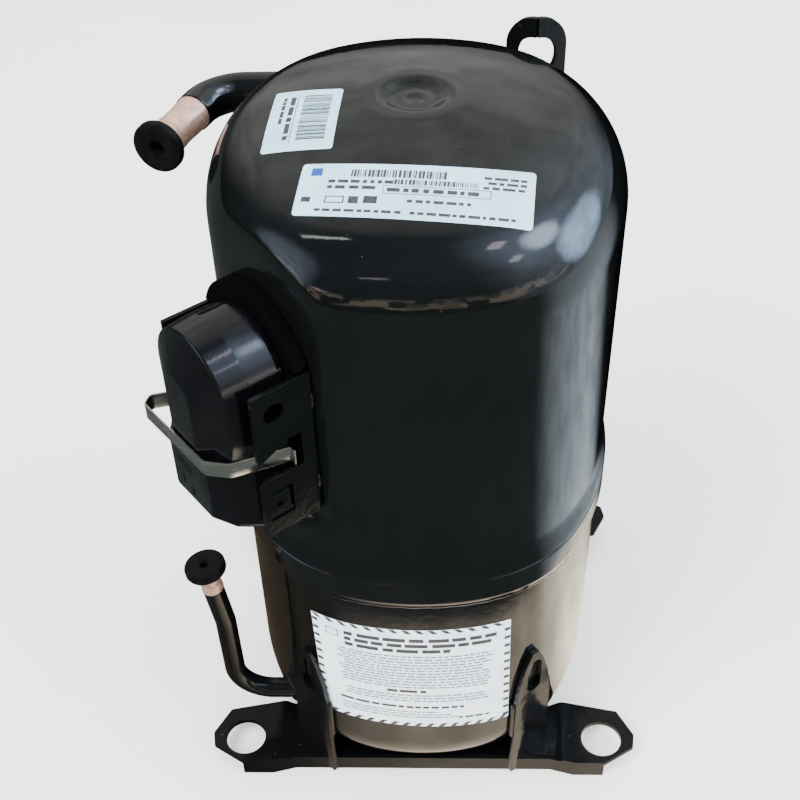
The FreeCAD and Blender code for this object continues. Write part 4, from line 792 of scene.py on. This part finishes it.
terminal_cover()
dressed("terminal_gasket", FOAM, "cover", 0.6)
cover_bail()
facet_block("cover_mark_a", 50.8, -6, 274, 0.7, 14, 5.5, PLASTIC, "cover")
facet_block("cover_mark_b", 51.2, -6, 274, 0.6, 9, 1.6, PLASTIC, "cover", 0.2)
facet_block("cover_mark_c", 50.8, -10, 262, 0.6, 3.4, 4.6, PLASTIC, "cover")
facet_block("cover_mark_d", 50.8, -1, 259, 0.6, 3.4, 4.6, PLASTIC, "cover")

# ------------------------------------------------------------ labels


class Label:
    """A film laid on the can. place(a, b) turns label millimetres into a point and a normal."""

    def __init__(self, name, width, height, place, corner):
        self.name, self.width, self.height = name, width, height
        self.place, self.corner = place, corner
        self.marks = []

    def sheet(self, node_name, lift, mat, step=2.0):
        rows = []
        columns = int(self.width / step) + 1
        for b in self.levels(step):
            inset = self.corner_inset(b)
            across = np.linspace(inset, self.width - inset, columns)
            rows.append([self.lifted(a, b, lift) for a in across])
        points = np.concatenate([np.array(r) for r in rows])
        faces = grid_faces(len(rows), columns, closed=False)
        return piece(self.name + "_film", points, faces, mat, "housing", [node_name])

    def levels(self, step):
        near = [self.corner * (1 - math.cos(t)) for t in np.linspace(0, math.pi / 2, 7)]
        middle = list(np.linspace(self.corner, self.height - self.corner, int(self.height / step))[1:-1])
        return near + middle + [self.height - b for b in reversed(near)]

    def corner_inset(self, b):
        gap = max(self.corner - b, self.corner - (self.height - b), 0.0)
        return self.corner - math.sqrt(max(self.corner**2 - gap**2, 0.0))

    def lifted(self, a, b, lift):
        spot, normal = self.place(a, b)
        return spot + normal * lift

    def bar(self, a, b, width, height, lean=0.0):
        """Adds a printed bar from its low corner; lean slants it."""
        self.marks.append((a, b, width, height, lean))

    def words(self, a, b, width, height, coarse=1.0):
        """A line of word-like bars."""
        x = a
        while x < a + width - height:
            length = min(random.uniform(2.0, 7.5) * coarse * height / 1.4, a + width - x)
            self.bar(x, b, length, height)
            x += length + height * random.uniform(0.5, 0.9)

    def barcode(self, a, b, width, height):
        x = a
        while x < a + width:
            thick = random.choice((0.4, 0.4, 0.8, 1.2))
            self.bar(x, b, thick, height)
            x += thick + random.choice((0.45, 0.45, 0.9))

    def frame_box(self, a, b, width, height, thick=0.35):
        self.bar(a, b, width, thick)
        self.bar(a, b + height - thick, width, thick)
        self.bar(a, b, thick, height)
        self.bar(a + width - thick, b, thick, height)

    def print(self, name, lift, mat):
        """Turns the marks made so far into one printed piece."""
        points, faces = [], []
        for a, b, width, height, slant in self.marks:
            columns = max(2, int(width / 3) + 2)
            rows = max(2, int(height / 3) + 2)
            start = len(points)
            for r in range(rows):
                for c in range(columns):
                    u = a + width * c / (columns - 1) + slant * r / (rows - 1)
                    v = b + height * r / (rows - 1)
                    points.append(self.lifted(min(max(u, 0), self.width), v, lift))
            quads = grid_faces(rows, columns, closed=False)
            faces += [tuple(start + k for k in quad) for quad in quads]
        self.marks = []
        return piece(f"{self.name}_{name}", points, faces, mat, "housing")


def across_quad(corners, bow):
    """Bilinear placing between four corners, with a bow in the second direction."""
    low_left, low_right, high_right, high_left = [np.array(c, float) for c in corners]

    def place(u, v):
        low = low_left + (low_right - low_left) * u
        high = high_left + (high_right - high_left) * u
        spot = low + (high - low) * v
        return spot + np.array([0.0, bow * 4 * u * (1 - u)])

    return place


def dome_label(name, width, height, corners, bow, corner):
    quad = across_quad(corners, bow)

    def place(a, b):
        x, y = quad(a / width, b / height)
        return touch(UPPER_TREE, (x, y, 480), (0, 0, -1))

    return Label(name, width, height, place, corner)


def wall_label(name, width, height, corners, bow, corner):
    quad = across_quad(corners, bow)

    def place(a, b):
        x, z = quad(a / width, b / height)
        return touch(LOWER_TREE, (x, -200, z), (0, 1, 0))

    return Label(name, width, height, place, corner)


def rating_label():
    corners = [(-55.9, -82.5), (53.9, -91.5), (57.2, -57.9), (-51.8, -51.9)]
    label = dome_label("rating", 110, 36, corners, -4.4, 2.2)
    label.sheet("rating_label", 0.16, SILVER_FILM)
    label.bar(5, 27, 5.2, 5.6)
    label.print("mark", 0.26, INK_BLUE)
    label.words(14, 22.2, 30, 2.2, 0.55)
    label.words(14, 18.2, 25, 2.2, 0.55)
    label.frame_box(40, 15.6, 50, 5.4)
    label.words(42, 17.0, 45, 2.5, 0.5)
    label.barcode(24, 26.6, 44, 5.2)
    label.barcode(44, 22.0, 40, 3.4)
    label.words(86, 28.5, 20, 1.7, 0.7)
    label.words(88, 25.2, 18, 1.7, 0.7)
    label.words(86, 21.9, 20, 1.7, 0.7)
    label.words(3, 9.0, 8, 3.4, 0.7)
    label.frame_box(14.0, 8.6, 9.0, 4.6, 0.6)
    label.bar(25.0, 8.6, 4.6, 4.6)
    label.words(32, 9.0, 9, 4.6, 0.4)
    label.words(10, 3.2, 40, 1.7, 0.6)
    label.words(54, 3.2, 48, 1.7, 0.6)
    label.words(52, 10.5, 30, 1.8, 0.6)
    label.print("print", 0.24, INK)


def barcode_label():
    corners = [(-36.0, 8.6), (-38.9, -43.9), (-74.4, -37.7), (-71.4, 18.3)]
    label = dome_label("barcode", 62, 37, corners, 0.0, 2.0)
    label.sheet("barcode_label", 0.16, SILVER_FILM)
    label.barcode(7, 5, 46, 15)
    label.bar(5, 23, 50, 0.35)
    label.words(8, 24.5, 46, 2.6, 0.7)
    label.words(8, 29.5, 30, 1.8, 0.7)
    label.print("print", 0.24, INK)


def notice_label():
    corners = [(-59.6, 63.7), (53.4, 58.2), (51.8, 153.7), (-62.6, 153.5)]
    label = wall_label("notice", 117, 96, corners, 2.0, 1.0)
    label.sheet("notice_label", 0.14, FILM)
    pitch = 7.6
    for k in range(15):
        label.bar(3 + k * pitch, 92.6, 3.2, 3.2, -3.0)
        label.bar(4 + k * pitch, 0.2, 3.2, 3.2, 3.0)
    for k in range(12):
        label.bar(0.2, 5 + k * pitch, 3.4, 2.6)
        label.bar(113.4, 3 + k * pitch, 3.4, 2.6)
    label.print("border", 0.24, INK)
    label.words(19, 84.5, 90, 3.2, 0.8)
    label.words(19, 79.5, 90, 3.2, 0.8)
    label.words(19, 74.5, 66, 3.2, 0.8)
    label.words(42, 35.0, 24, 2.6, 0.8)
    label.words(12, 19.0, 78, 2.2, 0.8)
    label.words(86, 8.0, 20, 1.8, 0.8)
    label.frame_box(8, 80.5, 7.5, 7.0, 0.6)
    label.print("headings", 0.22, INK)
    for row in range(17):
        b = 70.0 - row * 2.75
        if 32.5 < b < 38.5:
            continue
        indent = random.uniform(0, 5)
        label.words(13 + indent, b, 94 - 2 * indent, 1.35, 0.9)
    for row in range(3):
        label.words(13, 14.5 - row * 2.75, 60 + 8 * row, 1.2, 0.9)
    label.print("small_print", 0.22, INK_GREY)


rating_label()
barcode_label()
notice_label()

# ------------------------------------------------------------ finishes of what the CAD already shows

FINISH = (
    (PAINT, "terminal_body"), (GLASS_SEAL, "terminal_glass"), (FIBRE, "head_gaskets"),
    (WIRE, "stator_winding"), (SLEEVE, "motor_leads"),
    (IRON, "crankcase lower_bearing_plate lower_counterweight"),
    (BRONZE, "main_bush lower_bush slider_block yoke_thrust_ring"),
    (STEEL, "bearing_plate_screws head_screws rear_valve_plate front_valve_plate crankshaft stator_screws"),
    (STEEL, "spring_seats suspension_springs discharge_muffler discharge_loop"),
    (SPRING, "rear_suction_reed rear_discharge_reed front_suction_reed front_discharge_reed"),
    (DIE_CAST, "rear_head front_head rear_piston front_piston rotor_cage"),
    (SINTERED, "yoke piston_rings"), (ZINC, "terminal_pins upper_counterweight oil_pickup"),
    (LAMINATION, "rotor_core stator_core"), (PHENOLIC, "motor_protector lead_plug"),
)
for mat, names in FINISH:
    for name in names.split():
        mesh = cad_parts[name].data
        mesh.materials.clear()
        mesh.materials.append(mat)

# ------------------------------------------------------------ studio


def stage_plane(name, width, depth, centre, mat, rotation=(0, 0, 0)):
    mesh = bpy.data.meshes.new(name)
    w, d = width / 2, depth / 2
    mesh.from_pydata([(-w, -d, 0), (w, -d, 0), (w, d, 0), (-w, d, 0)], [], [(0, 1, 2, 3)])
    mesh.materials.append(mat)
    obj = bpy.data.objects.new(name, mesh)
    bpy.context.scene.collection.objects.link(obj)
    obj.location = centre
    obj.rotation_euler = rotation
    return obj


def floor_material():
    mat, tree, shader = material("floor")
    colour = ramp(tree, noise(tree, 0.004, 3.0), [(0.3, (0.86, 0.855, 0.845)), (0.7, (0.90, 0.895, 0.885))])
    tree.links.new(colour, shader.inputs["Base Color"])
    shader.inputs["Roughness"].default_value = 0.7
    bump(tree, shader, noise(tree, 0.2, 3.0), 0.05, 0.1)
    return mat


def fade(tree, value, low, high, top=1.0):
    """0 below low, top above high, smooth between; low may be above high."""
    made = tree.nodes.new("ShaderNodeMapRange")
    made.interpolation_type = "SMOOTHSTEP"
    tree.links.new(value, made.inputs["Value"])
    settings = {"From Min": min(low, high), "From Max": max(low, high), "To Min": 0.0, "To Max": top}
    if low > high:
        settings["To Min"], settings["To Max"] = top, 0.0
    for key, amount in settings.items():
        made.inputs[key].default_value = amount
    return made.outputs["Result"]


def vectors(tree, operation, first, second=None, scale=None, output="Vector"):
    made = tree.nodes.new("ShaderNodeVectorMath")
    made.operation = operation
    for value, socket in ((first, made.inputs[0]), (second, made.inputs[1])):
        if isinstance(value, tuple):
            socket.default_value = value
        elif value is not None:
            tree.links.new(value, socket)
    if scale is not None:
        tree.links.new(scale, made.inputs["Scale"])
    return made.outputs[output]


def glow(tree, colour, *factors):
    """A colour scaled by the product of several values."""
    amount = factors[0]
    for factor in factors[1:]:
        amount = maths(tree, "MULTIPLY", amount, factor)
    return vectors(tree, "SCALE", colour, scale=amount)


def summed(tree, parts):
    whole = parts[0]
    for part in parts[1:]:
        whole = vectors(tree, "ADD", whole, part)
    return whole


def toward(tree, vector, azimuth, elevation):
    """The cosine between a vector and a heading."""
    a, e = math.radians(azimuth), math.radians(elevation)
    heading = (math.cos(a) * math.cos(e), math.sin(a) * math.cos(e), math.sin(e))
    return vectors(tree, "DOT_PRODUCT", vector, heading, output="Value")


def reflector_material():
    """The ground as the paint mirrors it: a warm bench near the can, brighter to the right."""
    mat = bpy.data.materials.new("reflector")
    mat.use_nodes = True
    tree = mat.node_tree
    tree.nodes.clear()
    spot = tree.nodes.new("ShaderNodeNewGeometry").outputs["Position"]
    far = vectors(tree, "LENGTH", spot, output="Value")
    heading = vectors(tree, "NORMALIZE", spot)
    right = fade(tree, toward(tree, heading, 2, 0), 0.80, 0.995)
    front_right = fade(tree, toward(tree, heading, -50, 0), 0.10, 0.85)
    shade = fade(tree, toward(tree, heading, 70, 0), 0.95, 0.35)
    bench = fade(tree, far, 0.265, 0.235)
    beyond = fade(tree, far, 0.235, 0.265)
    mottle = fade(tree, noise(tree, 0.02, 4.0), 0.2, 0.8)
    uneven = maths(tree, "ADD", maths(tree, "MULTIPLY", mottle, 0.5), 0.75)
    parts = [
        glow(tree, (0.90, 1.05, 1.0), beyond, shade, 0.13),
        glow(tree, (0.85, 1.0, 1.12), beyond, right, 1.5),
        glow(tree, (1.0, 0.86, 0.66), bench, front_right, 2.0),
        glow(tree, (1.0, 0.98, 0.80), bench, right, 1.5),
        glow(tree, (1.0, 0.75, 0.5), bench, 0.09),
    ]
    light_given = tree.nodes.new("ShaderNodeEmission")
    tree.links.new(vectors(tree, "SCALE", summed(tree, parts), scale=uneven), light_given.inputs["Color"])
    out = tree.nodes.new("ShaderNodeOutputMaterial")
    tree.links.new(light_given.outputs[0], out.inputs["Surface"])
    return mat


def studio_world():
    """An even pale light, and a darker room with a window on the right for the paint to mirror."""
    world = bpy.data.worlds.new("studio")
    bpy.context.scene.world = world
    world.use_nodes = True
    tree = world.node_tree
    tree.nodes.clear()
    where = tree.nodes.new("ShaderNodeTexCoord")
    ray = where.outputs["Generated"]
    parts_of = tree.nodes.new("ShaderNodeSeparateXYZ")
    tree.links.new(ray, parts_of.inputs[0])
    x, y, z = parts_of.outputs
    clutter = node(tree, "ShaderNodeTexNoise", Scale=5.0, Detail=6.0, Roughness=0.6)
    tree.links.new(ray, clutter.inputs["Vector"])
    uneven = maths(tree, "ADD", maths(tree, "MULTIPLY", clutter.outputs["Fac"], 1.6), 0.2)
    over_x = maths(tree, "DIVIDE", x, maths(tree, "MAXIMUM", z, 0.05))
    over_y = maths(tree, "DIVIDE", y, maths(tree, "MAXIMUM", z, 0.05))

    cells = node(tree, "ShaderNodeTexVoronoi", Scale=9.0, Randomness=1.0)
    cells.distance = "CHEBYCHEV"
    tree.links.new(ray, cells.inputs["Vector"])
    boxes = fade(tree, cells.outputs["Color"], 0.45, 0.75, 1.6)
    shelf = maths(tree, "MULTIPLY", fade(tree, z, 0.03, 0.07), fade(tree, z, 0.30, 0.20))
    shelf = maths(tree, "MULTIPLY", shelf, fade(tree, y, 0.1, -0.3))

    def tube_lamp(left, right, near, far, power, colour):
        """A sharp-edged lamp on the ceiling, between two limits across and two along it."""
        across = (fade(tree, over_x, left, left + 0.03), fade(tree, over_x, right, right - 0.03))
        along = (fade(tree, over_y, near, near + 0.02), fade(tree, over_y, far, far - 0.02, power))
        return glow(tree, colour, *across, *along)

    def patch(azimuth, elevation, low, high, power, colour, *factors):
        """A soft-edged bright part of the room round a heading."""
        near = toward(tree, ray, azimuth, elevation)
        return glow(tree, colour, fade(tree, near, low, high, power), *factors)

    parts = [
        glow(tree, (0.85, 1.0, 1.12), fade(tree, z, -0.2, 1.0, 0.15), uneven),
        patch(96, 36, 0.62, 0.95, 0.72, (1.0, 0.98, 0.94), uneven),
        patch(12, 17, 0.93, 0.985, 7.5, (0.62, 0.88, 1.25), uneven),
        patch(-165, 25, 0.88, 0.985, 1.6, (0.75, 0.9, 1.2), uneven),
        patch(4, 24, 0.45, 1.0, 1.3, (0.80, 0.95, 1.12), uneven),
        patch(-6, 50, 0.84, 0.985, 1.2, (0.62, 0.84, 1.25)),
        patch(1, 47, 0.970, 0.996, 9.0, (0.80, 0.92, 1.15)),
        glow(tree, (1.0, 0.82, 0.62), boxes, shelf),
        tube_lamp(-0.70, -0.28, 0.03, 0.10, 7.0, (1.0, 1.0, 1.0)),
        tube_lamp(0.36, 0.50, -0.24, -0.05, 5.0, (1.0, 0.84, 1.0)),
        tube_lamp(-0.55, -0.25, -1.15, -1.05, 3.0, (0.9, 0.8, 1.0)),
        tube_lamp(0.75, 0.95, -0.62, -0.40, 5.0, (0.9, 0.85, 1.0)),
        tube_lamp(-2.6, -2.1, -2.9, -2.2, 3.0, (1.0, 0.74, 0.86)),
    ]
    mirrored = tree.nodes.new("ShaderNodeBackground")
    tree.links.new(summed(tree, parts), mirrored.inputs["Color"])
    even = tree.nodes.new("ShaderNodeBackground")
    even.inputs["Color"].default_value = (0.94, 0.97, 1.0, 1)
    even.inputs["Strength"].default_value = 2.3
    path = tree.nodes.new("ShaderNodeLightPath")
    choose = tree.nodes.new("ShaderNodeMixShader")
    tree.links.new(path.outputs["Is Glossy Ray"], choose.inputs["Fac"])
    tree.links.new(even.outputs[0], choose.inputs[1])
    tree.links.new(mirrored.outputs[0], choose.inputs[2])
    out = tree.nodes.new("ShaderNodeOutputWorld")
    tree.links.new(choose.outputs[0], out.inputs["Surface"])


def light(name, size, power, place, aim, colour=(1, 1, 1)):
    data = bpy.data.lights.new(name, "AREA")
    data.shape = "RECTANGLE"
    data.size, data.size_y = size
    data.energy = power
    data.color = colour
    obj = bpy.data.objects.new(name, data)
    bpy.context.scene.collection.objects.link(obj)
    obj.location = place
    obj.rotation_mode = "QUATERNION"
    obj.rotation_quaternion = (Vector(aim) - Vector(place)).to_track_quat("-Z", "Y")
    obj.visible_glossy = False
    return obj


stage_plane("floor", 12, 12, (0, 0, 0), floor_material())
apron = stage_plane("apron", 12, 12, (0, 0, 0.0006), reflector_material())
for ray in ("camera", "diffuse", "shadow", "transmission"):
    setattr(apron, "visible_" + ray, False)

studio_world()
light("key", (1.2, 1.2), 125, (-1.2, -1.0, 2.2), (0, 0, 0.2), (1.0, 0.97, 0.93))
light("fill", (1.6, 1.0), 65, (1.8, -0.6, 1.6), (0, 0, 0.2), (0.92, 0.96, 1.0))
light("back", (1.6, 0.8), 50, (0.4, 2.2, 1.9), (0, 0, 0.3))

# ------------------------------------------------------------ camera

PITCH, YAW, ROLL = math.radians(41.36), math.radians(-2.51), math.radians(-1.80)
ahead = Vector((math.sin(YAW) * math.cos(PITCH), math.cos(YAW) * math.cos(PITCH), -math.sin(PITCH)))
right = Vector((math.cos(YAW), -math.sin(YAW), 0))
up = right.cross(ahead)
right, up = (
    math.cos(ROLL) * right + math.sin(ROLL) * up,
    -math.sin(ROLL) * right + math.cos(ROLL) * up,
)
camera_data = bpy.data.cameras.new("camera")
camera_data.sensor_width = 36
camera_data.lens = 56.23
camera = bpy.data.objects.new("camera", camera_data)
bpy.context.scene.collection.objects.link(camera)
turn = Matrix((right, up, -ahead)).transposed().to_4x4()
camera.matrix_world = Matrix.Translation(Vector((0.0125, -0.5657, 0.7170))) @ turn
bpy.context.scene.camera = camera
